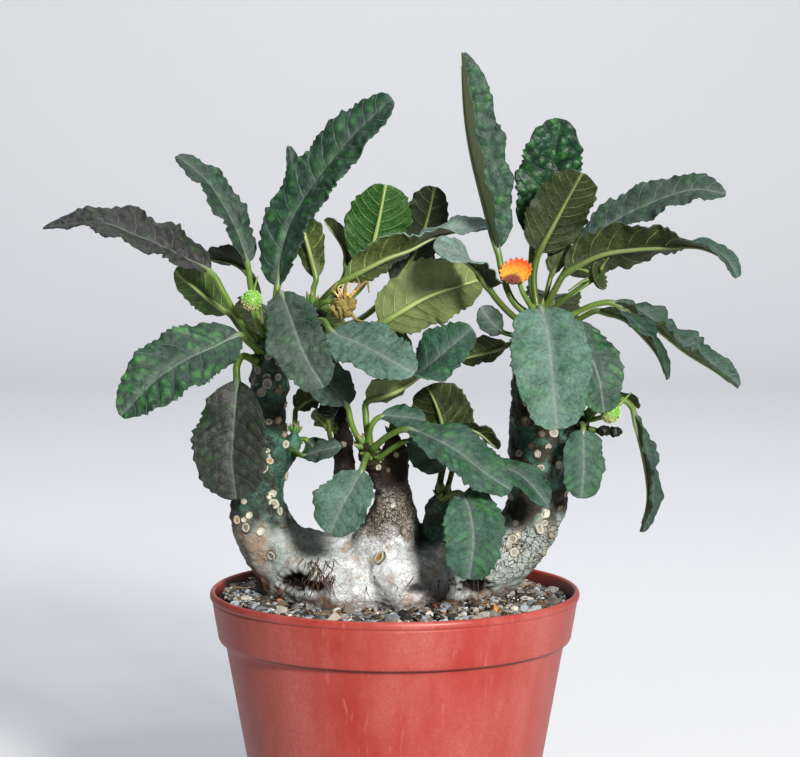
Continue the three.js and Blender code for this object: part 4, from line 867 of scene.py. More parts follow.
LEAVES = [
    # Left crown
    leaf("leaf_left_reach", "leftArm", "leaf_purple", 20.5, 14, 1.1, POINTED, tint=(1, 0.3, 0.3, 0, 0),
         face=(0.1, -0.42, 0.9), stalk=[(-46.4, 180.6, -2.6), (-51.4, 188.4, -1), (-55.6, 195.6, 2)],
         blade=[(-60.4, 203, 4), (-72.6, 209.6, 8), (-84, 214.6, 11), (-97, 219, 14), (-114.7, 217.2, 18)]),
    leaf("leaf_left_upper", "leftArm", "leaf_green", 13.8, 14, 1, STRAP, tint=(0.35, 0.45, 0.3, 0, 0),
         face=(0.62, -0.5, 0.52), stalk=[(-43, 185, 0), (-45.2, 190, 4.6), (-47, 198.5, 10)],
         blade=[(-48, 206, 14), (-51.4, 215.8, 17), (-55.6, 224, 19), (-61.4, 232.4, 21), (-71, 240.6, 24)]),
    leaf("leaf_left_top", "leftArm", "leaf_green", 20, 12, 1.1, STRAP, tint=(0.2, 0.5, 0.8, 0, 0),
         face=(-0.5, -0.75, 0.4), stalk=[(-39.6, 185, 0.6), (-39.2, 190.6, 5)],
         blade=[(-38.2, 198.5, 9), (-37.2, 208.4, 11), (-33.4, 220, 12), (-26.6, 231, 12),
                (-15, 245.6, 10), (-0.6, 259.4, 6)]),
    leaf("leaf_left_olive", "leftArm", "leaf_olive", 15, 10, 0.8, BROAD, tint=(0.1, 0.3, 0.3, 0.75, 0.1),
         face=(0.3, 0.85, 0.4), stalk=[(-46, 178, 2.6), (-50.4, 184.6, 7.4)],
         blade=[(-54.3, 189.7, 11), (-62.5, 196, 14), (-71.5, 203.4, 17)]),
    leaf("leaf_left_arch", "leftArm", "leaf_dark", 14, 12, 0.8, LONG, tint=(0.8, 0.5, 0.1, -0.6, 0),
         face=(0.2, 0.5, 0.85), stalk=[(-42.4, 181.6, 5), (-43.6, 190, 14), (-44.6, 197, 19)],
         blade=[(-46.4, 201.4, 22), (-50, 205, 25), (-55, 206.8, 28), (-61, 207.3, 30)]),
    leaf("leaf_left_low", "leftArm", "leaf_green", 22.5, 10, 1.1, EVEN, tint=(0.25, 0.4, 1, 0, 0),
         face=(-0.2, -0.85, 0.5), stalk=[(-45, 177, -6), (-47.6, 180, -10)],
         blade=[(-50.6, 182.2, -13), (-59, 178.4, -19), (-67.6, 174.4, -24), (-78.6, 167, -30),
                (-89.2, 155.6, -33)]),
    leaf("leaf_left_hanging", "leftArm", "leaf_purple", 24.5, 10, 1.1, BROAD, tint=(0.85, 0.45, 0.28, 0, 0),
         face=(-0.3, -0.93, 0.15), stalk=[(-46, 173.5, -5), (-49.4, 175.4, -9), (-51.4, 172, -12)],
         blade=[(-51.4, 167.3, -13), (-52.2, 155.3, -15), (-53, 141.6, -16), (-51.4, 128.6, -15)]),
    leaf("leaf_left_front", "leftArm", "leaf_purple", 17.5, 9, 0.9, BROAD, tint=(0.35, 0.5, 0.35, 0, 0),
         face=(-0.15, -0.5, 0.85), tip_face=(-0.15, -0.95, 0.3),
         stalk=[(-40.6, 179.4, -6), (-40.8, 187, -13), (-38.3, 194, -19)],
         blade=[(-37, 195.8, -23), (-33.6, 187, -31), (-30.6, 178.6, -35), (-26.4, 170.5, -37),
                (-22.8, 165, -38)]),
    leaf("leaf_left_back", "leftArm", "leaf_green", 18, 12, 0.9, LONG, tint=(0.3, 0.5, 0.4, 0, 0),
         face=(0, 0.2, 0.95), tip_face=(0, 0.75, 0.6),
         stalk=[(-40, 175.6, 5), (-39, 181, 14), (-39.4, 186.4, 21)],
         blade=[(-41, 190, 27), (-42, 192, 38), (-43, 190, 52), (-44, 183, 66)]),
    # Rear crown
    leaf("leaf_rear_tall", "rear", "leaf_olive", 12.5, 12, 0.8, EVEN, tint=(0.2, 0.4, 0.3, -0.2, 0),
         face=(0.1, 0.95, 0.2), tip_face=(0.75, -0.6, 0.15), stalk=[(-27, 195, 19.4), (-26.4, 197.4, 22)],
         blade=[(-25.6, 201, 24.5), (-27.3, 209, 27), (-29.9, 219.5, 29), (-32.6, 231, 30),
                (-34.6, 244, 30)]),
    leaf("leaf_rear_thin", "rear", "leaf_dark", 11, 18, 0.7, LONG, tint=(0.5, 0.5, 0.1, 0, 0),
         face=(0.9, 0.3, 0.3), stalk=[(-25, 189.8, 22.6), (-19.6, 195.4, 31)],
         blade=[(-15.6, 204, 36), (-16.2, 211, 39), (-22.8, 219.9, 41)]),
    leaf("leaf_rear_long", "rear", "leaf_olive", 16.5, 14, 1, BROAD, tint=(0.3, 1.25, 0.1, -0.18, 0),
         face=(0.1, 0.92, 0.36), tip_face=(0.05, -0.5, 0.85),
         stalk=[(-24, 193.4, 15.4), (-20.6, 196.8, 13.8)],
         blade=[(-16.3, 200.1, 14), (-3.3, 207.3, 15), (4.6, 210.4, 16), (14.6, 215.2, 18), (31, 218, 20)]),
    leaf("leaf_rear_round", "rear", "leaf_green", 21, 9, 0.8, ROUND, tint=(0.1, 0.4, 0.5, 1, 0),
         face=(0.05, 0.98, 0.15), stalk=[(-22.4, 190, 20), (-16.3, 193, 25), (-10.6, 198.5, 28)],
         blade=[(-8.4, 204, 29), (-6.8, 212.1, 29), (-4.9, 220.9, 28), (-2.9, 231.3, 26)]),
    leaf("leaf_rear_erect", "rear", "leaf_dark", 16.5, 10, 0.8, BROAD, tint=(0.2, 0.4, 0.4, -1, 0),
         face=(-0.2, 0.95, 0.2), stalk=[(-21.6, 184.4, 21.6), (-12, 187, 30), (-4, 193.4, 35)],
         blade=[(-0.6, 199, 36), (5.4, 207.6, 37), (9.8, 218, 37), (13, 230.7, 35)]),
    leaf("leaf_rear_olive", "rear", "leaf_olive", 22.5, 9, 0.9, ROUND, tint=(0.2, 0.5, 0.4, 0, 0.28),
         face=(-0.1, 0.92, 0.35), stalk=[(-21.6, 182, 14.6), (-16.3, 182.6, 7), (-9.4, 184, 3)],
         blade=[(-4.6, 186.2, 1), (1.6, 190, 0), (12, 195.6, 0), (28.6, 200.8, 2)]),
    leaf("leaf_rear_small", "rear", "leaf_dark", 10, 10, 0.6, BROAD, tint=(0.2, 0.4, 0.4, -0.3, 0),
         face=(0.1, 0.8, 0.6), stalk=[(-19, 178.4, 20), (-14.6, 181.6, 20.8)],
         blade=[(-9.8, 182, 20), (-2, 180.6, 20), (5.5, 177.6, 20)]),
    leaf("leaf_rear_front", "rear", "leaf_purple", 18.5, 9, 1, ROUND, tint=(0.1, 1.05, 0.3, 0, 0),
         face=(0.1, -0.8, 0.6), stalk=[(-25.6, 184.6, 12), (-25, 186.8, 4), (-22.8, 186.6, -4)],
         blade=[(-20.4, 183.2, -11), (-14, 180.4, -18), (-8, 177.6, -23), (-0.8, 173.6, -29),
                (6.4, 169.4, -32)]),
    leaf("leaf_rear_back", "rear", "leaf_green", 17, 12, 0.8, LONG, tint=(0.3, 0.5, 0.4, 0, 0),
         face=(0, 0.2, 0.95), tip_face=(0.2, 0.8, 0.5), stalk=[(-26.5, 184.6, 24), (-27.5, 188.4, 32)],
         blade=[(-28, 190, 39), (-27, 189, 50), (-24, 184, 62), (-20, 175, 72)]),
    # Low inner leaves
    leaf("leaf_inner_brown", "innerShoot", "leaf_olive", 9, 8, 0.6, BROAD, tint=(0.3, 0.2, 0.2, -0.3, 0),
         face=(0.2, 0.75, 0.6), stalk=[(-32.4, 153, 8), (-32.4, 155.8, 10)],
         blade=[(-32, 158.2, 11.5), (-29, 160.8, 11.5), (-25, 162.6, 11)]),
    leaf("leaf_inner_pale", "rear", "leaf_olive", 8, 8, 0.5, BROAD, tint=(0.1, 0.2, 0.3, 0.2, 0.6),
         face=(0.1, 0.7, 0.7), stalk=[(-20.8, 151.6, 13), (-21.2, 151.4, 10.4)],
         blade=[(-21.6, 151.8, 8.6), (-23.4, 154.6, 7.2), (-26.4, 157.8, 7)]),
    leaf("leaf_inner_green", "innerShoot", "leaf_green", 9.5, 8, 0.5, BROAD, tint=(0.1, 0.3, 0.6, 0, 0),
         face=(0.1, -0.6, 0.8), stalk=[(-30, 148, 9), (-29.8, 148.4, 10)],
         blade=[(-28.6, 148, 10.4), (-26.6, 145.4, 10.4), (-24.6, 141.4, 9)]),
    leaf("leaf_inner_grey", "innerShoot", "leaf_purple", 7.5, 8, 0.5, BROAD, tint=(0.3, 0.8, 0.1, 0, 0),
         face=(0.1, -0.7, 0.7), stalk=[(-32.6, 144.6, 1), (-31.4, 143.6, -2)],
         blade=[(-29.4, 143, -5), (-24, 144.4, -8), (-17.4, 146, -10)]),
    # Neck crown
    leaf("leaf_neck_left", "neckTip", "leaf_purple", 14, 8, 0.8, ROUND, tint=(0.3, 0.5, 0.4, 0, 0),
         face=(0.2, -0.85, 0.4), stalk=[(-12, 147.4, -14), (-14, 153.2, -10.4)],
         blade=[(-15.6, 159.4, -8), (-19.6, 164.4, -6.5), (-24.6, 168.8, -6), (-29.6, 171.6, -6)]),
    leaf("leaf_neck_bright", "neckTip", "leaf_green", 19, 12, 1, ROUND, tint=(0, 0.8, 0.7, 0.4, 0.4),
         face=(0.5, 0.5, 0.75), tip_face=(-0.1, -0.9, 0.4), stalk=[(-8.2, 150, -11.4), (-9.4, 156, -9.5)],
         blade=[(-8.6, 161, -8.5), (0.6, 164.8, -9), (8, 169.8, -10), (15.4, 176, -11), (25.4, 184.5, -13)]),
    leaf("leaf_neck_short", "neckTip", "leaf_green", 9, 9, 0.6, BROAD, tint=(0.1, 0.8, 0.3, 0, 0),
         face=(0, -0.7, 0.7), stalk=[(-8.4, 149.6, -17.4), (-7.4, 153, -19)],
         blade=[(-4.2, 155.8, -19), (2.6, 155.4, -20), (10.1, 154.4, -20)]),
    leaf("leaf_neck_right", "neckTip", "leaf_green", 17, 9, 0.9, BROAD, tint=(0.1, 0.6, 0.6, 0, 0),
         face=(0.3, -0.7, 0.65), stalk=[(-6.2, 145.6, -19), (-1.8, 149.6, -24)],
         blade=[(4.6, 151.6, -29), (13, 148.4, -33), (20.8, 144, -35), (29, 137.4, -37), (38, 131.4, -37)]),
    leaf("leaf_neck_under", "neckTip", "leaf_purple", 11, 8, 0.6, BROAD, tint=(0.2, 0.7, 0.5, 0, 0),
         face=(0.1, -0.9, 0.35), stalk=[(-4.6, 141.6, -18), (-0.4, 145.6, -21.6)],
         blade=[(4, 147.6, -23.5), (9.4, 144.6, -25), (16.6, 139, -25)]),
    leaf("leaf_neck_front", "neckTip", "leaf_green", 17.5, 9, 0.9, BROAD, tint=(0, 1.05, 0.35, 0, 0),
         face=(-0.3, -0.9, 0.3), stalk=[(-9.4, 142.4, -18.5), (-10, 140.6, -23)],
         blade=[(-10.9, 138, -26.5), (-14, 132, -30), (-17.6, 125.6, -32), (-21.1, 117.2, -32)]),
    # Low shoot in front of the right arm
    leaf("leaf_foot_dark", "footShoot", "leaf_dark", 20, 8, 0.9, ROUND, tint=(0.2, 0.3, 0.3, -0.5, 0),
         face=(0.3, 0.93, 0.2), stalk=[(14, 131.6, -20), (15.4, 138, -16), (16.4, 142.4, -12)],
         blade=[(16.8, 146, -9), (15.8, 153, -6), (13.6, 159.8, -4), (10.6, 165.8, -4)]),
    leaf("leaf_foot_narrow", "footShoot", "leaf_dark", 9, 12, 0.6, LONG, tint=(0.3, 0.3, 0.3, -0.5, 0),
         face=(0.2, 0.4, 0.9), stalk=[(17, 130.6, -19), (19, 140, -17), (19.4, 148.6, -16)],
         blade=[(20.6, 152.4, -15), (27, 151.2, -14), (34, 145.2, -14)]),
    leaf("leaf_foot_right", "footShoot", "leaf_green", 12, 10, 0.6, BROAD, tint=(0.1, 0.7, 0.4, 0, 0),
         face=(0.5, -0.6, 0.6), stalk=[(18, 127.6, -20), (22.6, 130, -18.5), (27.4, 134.6, -18)],
         blade=[(31.6, 138.8, -18.4), (38, 138, -20), (43.6, 134, -21.6), (49.7, 126.6, -23)]),
    leaf("leaf_foot_front", "footShoot", "leaf_green", 18, 9, 0.8, ROUND, tint=(0, 0.8, 0.8, 0, 0),
         face=(0, -0.8, 0.6), tip_face=(0, -0.97, 0.2), stalk=[(16, 128.6, -25), (19, 130.6, -30)],
         blade=[(21.6, 130.4, -34), (24.2, 125.6, -38), (25.6, 115.3, -40.5), (24, 102.6, -40.5)]),
    # Right crown
    leaf("leaf_right_front", "rightArm", "leaf_green", 24.4, 8, 0.8, ROUND, tint=(0, 1.07, 0.6, 0, 0),
         face=(0, -0.5, 0.85), tip_face=(0.05, -0.97, 0.25), stalk=[(46.6, 187, -1.5), (46.9, 190.2, -7)],
         blade=[(47.6, 190.6, -14), (49.8, 182.4, -24), (51, 171.4, -30), (51.8, 161.4, -33),
                (53, 151.2, -34)]),
    leaf("leaf_right_second", "rightArm", "leaf_green", 16.5, 9, 0.8, BROAD, tint=(0.1, 0.5, 0.7, 0, 0),
         face=(0.2, -0.9, 0.35), stalk=[(50.6, 184, 0), (54.6, 186.6, -4)],
         blade=[(58.4, 186.2, -7.5), (63.2, 176.6, -12), (66.6, 167, -14.5), (68, 156.8, -15)]),
    leaf("leaf_right_serrate", "rightArm", "leaf_green", 14.2, 30, 1.6, LONG, tint=(0.25, 0.7, 0.3, 0, 0),
         face=(0.5, -0.35, 0.8), stalk=[(53, 185, 7.5), (58, 189, 8), (64.6, 192, 7.6)],
         blade=[(71, 192.8, 7), (79, 190, 6.5), (87.8, 183, 6), (95.4, 176.8, 5), (104.4, 171, 3.4),
                (112, 165, 2)]),
    leaf("leaf_right_low", "rightArm", "leaf_green", 14, 14, 1.1, EVEN, tint=(0.15, 0.4, 0.5, -0.3, 0),
         face=(0.6, -0.2, 0.8), stalk=[(52.4, 180.6, 2), (57, 185, 0), (62, 188.6, -3)],
         blade=[(67, 190.2, -6), (75, 188, -9), (81.6, 181.8, -11), (86.4, 175.2, -12),
                (88.9, 167.6, -12.5)]),
    leaf("leaf_right_arch", "rightArm", "leaf_olive", 20, 10, 1, ROUND, tint=(0.2, 0.8, 0.2, -0.5, 0),
         face=(0, 0.9, 0.45), tip_face=(0.75, -0.5, 0.5), stalk=[(49, 191, 3.5), (52.4, 197.6, 3.5)],
         blade=[(56, 202.7, 4), (66.6, 208.6, 4), (78, 210.6, 3), (88.7, 211.2, 1), (99.1, 211.2, -1),
                (107.2, 207.4, -3), (111.6, 200.6, -4)]),
    leaf("leaf_right_upper", "rightArm", "leaf_green", 16.5, 12, 0.9, EVEN, tint=(0.35, 0.5, 0.3, 0, 0),
         face=(-0.3, -0.6, 0.75), stalk=[(49.6, 188.4, 9.6), (52, 196.6, 15), (56, 204, 19)],
         blade=[(60.1, 210.6, 20), (71, 219, 21), (84, 225.4, 20), (97, 229.4, 18), (108, 228, 16)]),
    leaf("leaf_right_top", "rightArm", "leaf_green", 20, 9, 1, BROAD, tint=(0, 0.13, 0.9, 0, 0),
         face=(0.1, -0.95, 0.2), stalk=[(45, 190.8, 9.6), (44.4, 200, 14), (44.6, 208, 17)],
         blade=[(45.2, 213, 18), (47.8, 224.5, 18), (51, 239.1, 16.5), (54, 252.8, 14)]),
    leaf("leaf_right_brown", "rightArm", "leaf_olive", 19.5, 9, 0.8, ROUND, tint=(0.2, 0.4, 0.3, -0.55, 0),
         face=(-0.1, 0.95, 0.3), stalk=[(45.6, 193, 4), (45.2, 201, 5.5)],
         blade=[(47, 209.4, 6), (51.6, 218.4, 5.5), (56.6, 227.6, 3.5), (61, 235.2, 1)]),
    leaf("leaf_right_tall", "rightArm", "leaf_dark", 21, 52, 0.9, EVEN, tint=(0.1, 0.4, 0.6, 0, 0.9),
         face=(0.75, -0.6, 0.1), stalk=[(42.6, 188.4, 4), (38.4, 193.4, 5), (35.2, 201.4, 6.5)],
         blade=[(33.4, 210.4, 7.5), (30.4, 222.2, 8), (25.6, 240.7, 9), (23.2, 256, 9), (22.1, 274.5, 8)]),
    leaf("leaf_right_inward", "rightArm", "leaf_purple", 17, 12, 1.1, ROUND, tint=(0.3, 1.25, 0.1, -0.6, 0),
         face=(0.5, 0.4, 0.8), tip_face=(0.2, -0.6, 0.75),
         stalk=[(42.4, 184.4, -0.5), (38, 188.8, -5.4), (33.4, 193.6, -9.6)],
         blade=[(30.6, 197.6, -12), (27.2, 203.4, -16), (20.6, 208.2, -19), (12.4, 211, -21)]),
    leaf("leaf_right_small", "rightArm", "leaf_purple", 8, 9, 0.5, BROAD, tint=(0.3, 0.8, 0.2, 0, 0),
         face=(0, -0.9, 0.35), stalk=[(40.6, 181.4, 0.5), (37.6, 182.4, -2)],
         blade=[(34.8, 183.4, -4), (31.6, 186.2, -6), (28, 191.4, -7)]),
    leaf("leaf_right_dark", "rightArm", "leaf_dark", 10, 9, 0.6, BROAD, tint=(0.2, 0.4, 0.2, -0.4, 0),
         face=(0, 0.8, 0.5), stalk=[(40.4, 178.6, 5), (38.6, 179.2, 4.6)],
         blade=[(36.4, 179, 4.4), (29.3, 176.8, 4), (21.1, 174.4, 4.4)]),
    leaf("leaf_right_between", "rightArm", "leaf_dark", 8, 14, 0.6, LONG, tint=(0.2, 0.3, 0.3, -0.5, 0),
         face=(-0.2, 0.9, 0.4), stalk=[(48.4, 191, 6.5), (49.6, 196.6, 9.5)],
         blade=[(51, 202, 11), (53.4, 207.6, 11.6), (55.8, 213, 11.6)]),
    leaf("leaf_right_back", "rightArm", "leaf_green", 18, 12, 0.9, LONG, tint=(0.3, 0.5, 0.4, 0, 0),
         face=(0.1, 0.2, 0.95), tip_face=(0.2, 0.8, 0.5),
         stalk=[(47.6, 184, 12), (49, 189, 20), (50, 192, 27)],
         blade=[(50.6, 193.6, 33), (51.4, 195, 45), (52, 192, 58), (52.6, 184, 70)]),
    # Side shoot of the right stem
    leaf("leaf_side_hanging", "sideShoot", "leaf_green", 12.6, 22, 1.1, LONG, tint=(0.3, 0.6, 0.3, 0, 0),
         face=(0.93, -0.3, 0.2), stalk=[(63.4, 155.6, 5), (68, 159.6, 6), (73.8, 161.2, 7)],
         blade=[(78, 156.8, 7.5), (81.8, 141.6, 8), (82.9, 128.6, 8), (80, 118, 7)]),
    leaf("leaf_side_round", "sideShoot", "leaf_green", 13.5, 9, 0.5, ROUND, tint=(0.1, 0.8, 0.5, 0, 0),
         face=(0.1, -0.93, 0.35), stalk=[(61, 153, -1), (61.2, 153.2, -5)],
         blade=[(61.3, 151.2, -8.6), (61.4, 145.8, -11.6), (61.4, 138.6, -13), (60.8, 129, -13)]),
    leaf("leaf_side_strip", "sideShoot", "leaf_dark", 6.5, 10, 0.4, LONG, tint=(0.3, 0.4, 0.3, 0, 0),
         face=(0.2, 0.2, 0.95), stalk=[(61.6, 156.4, 8), (66, 160.4, 11)],
         blade=[(70.6, 163, 13), (75.4, 162.4, 14.4), (79.4, 158.4, 15)]),
]


def petiole_radius(leaf):
    """Radius of a leaf's stalk, from the width of its blade."""
    return 1.25 * (0.6 + 0.02 * leaf["width"])


def half_width(leaf, s):
    """Half the width of a blade at a share of its length."""
    rise, fall = leaf["form"]
    widest = rise / (rise + fall)
    most = widest**rise * (1 - widest) ** fall
    half = leaf["width"] / 2 * s**rise * (1 - s) ** fall / most
    return np.maximum(half, np.where(s < 0.5, 0.8 * petiole_radius(leaf), 0.22))


def seat_on(limb, place, bark):
    """Where a stalk leaves its limb, straight out from the limb's middle, and the way outwards."""
    line = limb_line(limb).at(np.linspace(0, 1, 121))
    centre = line[np.argmin(np.linalg.norm(line - place, axis=1))]
    towards = unit(place - centre)
    hit, outward, _, _ = bark.ray_cast(Vector(centre + 25 * towards), -Vector(towards))
    return np.array(hit), np.array(outward)


def wander(x, seed):
    """Slow smooth noise along a line."""
    return np.array([noise.noise(Vector((float(v), seed, 0.37 * seed))) for v in x])


def leaf_line(leaf, bark):
    """The midrib's line and the share of it at which the blade starts."""
    stalk = [from_front(p) for p in leaf["stalk"]]
    blade = [from_front(p) for p in leaf["blade"]]
    root, outward = seat_on(leaf["limb"], stalk[0], bark)
    stalk[0] = root
    line = Spline(stalk + blade)
    start = np.interp(len(stalk) / (len(stalk) + len(blade) - 1), line.steps, line.lengths) / line.length
    return line, start, outward


SIDES = np.concatenate([[-1, -0.96], np.linspace(-0.9, 0.9, 19), [0.96, 1]])


def facing_at(leaf, s):
    """The way that a blade's upper side looks at shares of its length."""
    return leaf["face"] + (leaf["tip_face"] - leaf["face"]) * s[:, None]


def blade_surface(leaf, line, start, seed, settings):
    """Middle surface of a blade as a grid of points, with each point's distance from the midrib, share of
    the length and place between the side veins."""
    length = line.length * (1 - start)
    s = np.linspace(0, 0.994, int(np.clip(length / 0.6, 26, 112)))
    v = s * length
    centres, ahead = line.walk(start + (1 - start) * s)
    normal, across = cross_frame(ahead, facing_at(leaf, s))
    half = half_width(leaf, s)
    ripple = leaf["ripple"]
    fade = (np.sin(math.pi * np.minimum(1.15 * s, 1)) ** 0.5)[:, None]
    side = SIDES[None, :]
    # Teeth that lean towards the tip, and uneven lobes under them
    phase = v / TOOTH_SPACING + 1.6 * wander(v / 9, seed)
    reach = np.zeros((len(s), len(SIDES)))
    for sign in (-1, 1):
        saw = (phase + (0.5 if sign > 0 else 0)) % 1
        tooth = np.where(saw < 0.8, (saw / 0.8) ** 1.4, (1 - saw) / 0.2)
        deep = settings.tooth / MM * (0.4 + 0.6 * ripple + 0.9 * wander(v / 5, seed + 7 * sign))
        lobe = 1.3 * wander(v / 5.5, seed + 31 * sign) * smooth(0.03, 0.2, s)
        edge = (tooth * deep * smooth(0.02, 0.12, s) + lobe) * np.minimum(half / 6, 1)
        reach += np.where(side * sign > 0, np.abs(side) ** 5, 0) * edge[:, None]
    u = side * (half[:, None] + reach)
    # Side veins leave the midrib in turn and bend towards the tip
    spacing = np.clip(length / 9, 3.3, 6.2)
    vein = (v[:, None] - np.abs(u) * (0.42 + 0.35 * side**2)) / spacing + np.where(side > 0, 0.5, 0)
    vein += 0.25 * wander(v / 11, seed + 3)[:, None]
    # The blade swells between them, in small domes, and sinks along the midrib
    pillow = np.abs(np.sin(math.pi * vein)) ** 0.7
    bold = min(leaf["width"] / 18, 1.2) * (0.55 + 0.65 * ripple) * (1.4 - 0.8 * leaf["tint"][1])
    domes = np.sin(math.pi * (np.abs(u) / DOME_SPACING + wander(v / 6, seed + 2)[:, None])) ** 2
    quilt = bold * (0.46 * (pillow - 0.6) + 0.34 * pillow * domes) * (1 - side**6)
    quilt *= (0.6 + wander(v / 13, seed + 9))[:, None] * smooth(0.3, 2.4, np.abs(u)) * fade
    groove = -0.4 * bold * np.exp(-((u / 0.9) ** 2)) * (1 - 0.5 * s[:, None])
    # The edge waves in step with the veins, and is frilled more finely
    station = s * (np.clip(round(length / 4.6), 7, 13) - 1) / 0.985
    wave = ripple * fade * side**2 * np.sin(2.1 * station[:, None] + np.where(side > 0, 0, 1.9))
    frill = 2 * math.pi * (v / FRILL_SPACING + 1.5 * wander(v / 8, seed + 5))[:, None]
    wave += 0.5 * ripple * fade * np.abs(side) ** 3 * np.sin(frill + np.where(side > 0, 0, 2.4))
    rise = np.abs(side) * half[:, None] * math.sin(leaf["fold"]) + wave + quilt + groove
    aside = across[:, None] * (u * math.cos(leaf["fold"]))[..., None]
    points = centres[:, None] + aside + normal[:, None] * rise[..., None]
    return points, np.stack([u, np.broadcast_to(s[:, None], u.shape), vein], axis=-1)


def leaf_mesh(leaf, seed, bark, materials, settings):
    """One leaf: a quilted blade with two sides, on a stalk that runs on as the midrib."""
    line, start, outward = leaf_line(leaf, bark)
    middle, facts = blade_surface(leaf, line, start, seed, settings)
    rows, columns = middle.shape[:2]
    facing = unit(np.cross(np.gradient(middle, axis=1), np.gradient(middle, axis=0)))
    thin = settings.thickness / MM / 2 * (1 - 0.4 * np.abs(SIDES) ** 4)[None, :, None]
    blade = np.vstack([(middle + facing * thin).reshape(-1, 3), (middle - facing * thin).reshape(-1, 3)])
    count = rows * columns
    upper = grid_faces(rows, columns)
    lower = grid_faces(rows, columns, start=count)[:, ::-1]
    index = np.arange(count).reshape(rows, columns)
    round_edge = np.concatenate([index[0], index[1:, -1], index[-1, -2::-1], index[-2:0:-1, 0]])
    after = np.roll(round_edge, -1)
    edge = np.stack([after, round_edge, round_edge + count, after + count], axis=-1)
    rib, rib_faces, rib_facts = stalk_and_rib(leaf, line, start, outward)
    points, faces = join_parts(
        [(blade, [*upper.tolist(), *lower.tolist(), *edge.tolist()]), (rib, rib_faces)]
    )
    indices = [0] * len(upper) + [1] * len(lower) + [0] * len(edge) + [2] * len(rib_faces)
    flat_facts = facts.reshape(-1, 3)
    *tint, painted_light_level, pale = leaf["tint"]
    piece = mesh_object(
        leaf["name"].replace("leaf_", "blade_"), points, faces, materials, leaf["slot"], indices,
        blade=np.vstack([flat_facts, flat_facts, rib_facts]), tint=np.tile(tint, (len(points), 1)),
        tone=np.tile((painted_light_level, 0, pale), (len(points), 1))
    )
    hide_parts(leaf["name"])
    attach(piece, "root")


def stalk_and_rib(leaf, line, start, outward):
    """The stalk, flared where it joins the bark, and the midrib that it runs on as under the blade."""
    radius = petiole_radius(leaf)
    sides = 10
    share = np.concatenate([np.linspace(0, start, 14)[:-1], start + (1 - start) * np.linspace(0, 0.93, 34)])
    centres, ahead = line.walk(share)
    past = (share - start) / (1 - start)
    s = np.clip(past, 0, 1)
    normal, _ = cross_frame(ahead, facing_at(leaf, s))
    near_root = np.clip(1 - share / (0.22 * start), 0, 1)
    on_stalk = radius * (0.88 + 0.5 * near_root**2)
    on_blade = radius * (0.88 - 0.2 * smooth(0, 0.15, s)) * (1 - s) ** 0.8 + 0.14
    radii = np.where(share < start, on_stalk, on_blade)
    centres = centres - normal * ((0.5 + 0.5 * radii) * smooth(-0.04, 0.12, past))[:, None]
    centres[0] -= outward * 0.9
    points, faces = tube(centres, radii, sides, hint=leaf["face"])
    # How far each point lies towards the leaf's upper side, and its share of the blade's length
    offset = points.reshape(len(share), sides, 3) - centres[:, None]
    above = np.sum(offset * normal[:, None], axis=-1) / radii[:, None]
    along = np.repeat(np.where(share < start, share / start - 1, s), sides)
    return points, faces, np.stack([above.reshape(-1), along, np.full(len(points), 0.5)], axis=-1)


def vein_masks(node):
    """Where the midrib, the side veins and the net between them run, from the blade's own measures."""
    u, _, vein = stored(node, "blade")
    aside = node("Math", [u], operation="ABSOLUTE")
    place = node("TexCoord", give="Object")
    crooked = node("TexNoise", [place, 420, 3])
    shaken = node("Math", [crooked, 0.16, vein], operation="MULTIPLY_ADD")
    near = node("Math", [shaken, 1.0], operation="PINGPONG")
    beside = node("Math", [near, 0.5], operation="SUBTRACT")
    apart = node("Math", [beside], operation="ABSOLUTE")
    off_vein = node("Math", [0.5, apart], operation="SUBTRACT")
    rib = node("MapRange", [aside, 0.6, 0.2])
    side_vein = node("MapRange", [off_vein, 0.055, 0.015])
    # The net between the veins has meshes about 1.7 mm wide
    net = node("TexVoronoi", [place, 600], feature="DISTANCE_TO_EDGE", give="Distance")
    fine_net = node("MapRange", [net, 0.09, 0.02])
    return dict(aside=aside, off_vein=off_vein, rib=rib, side_vein=side_vein, net=fine_net, place=place)


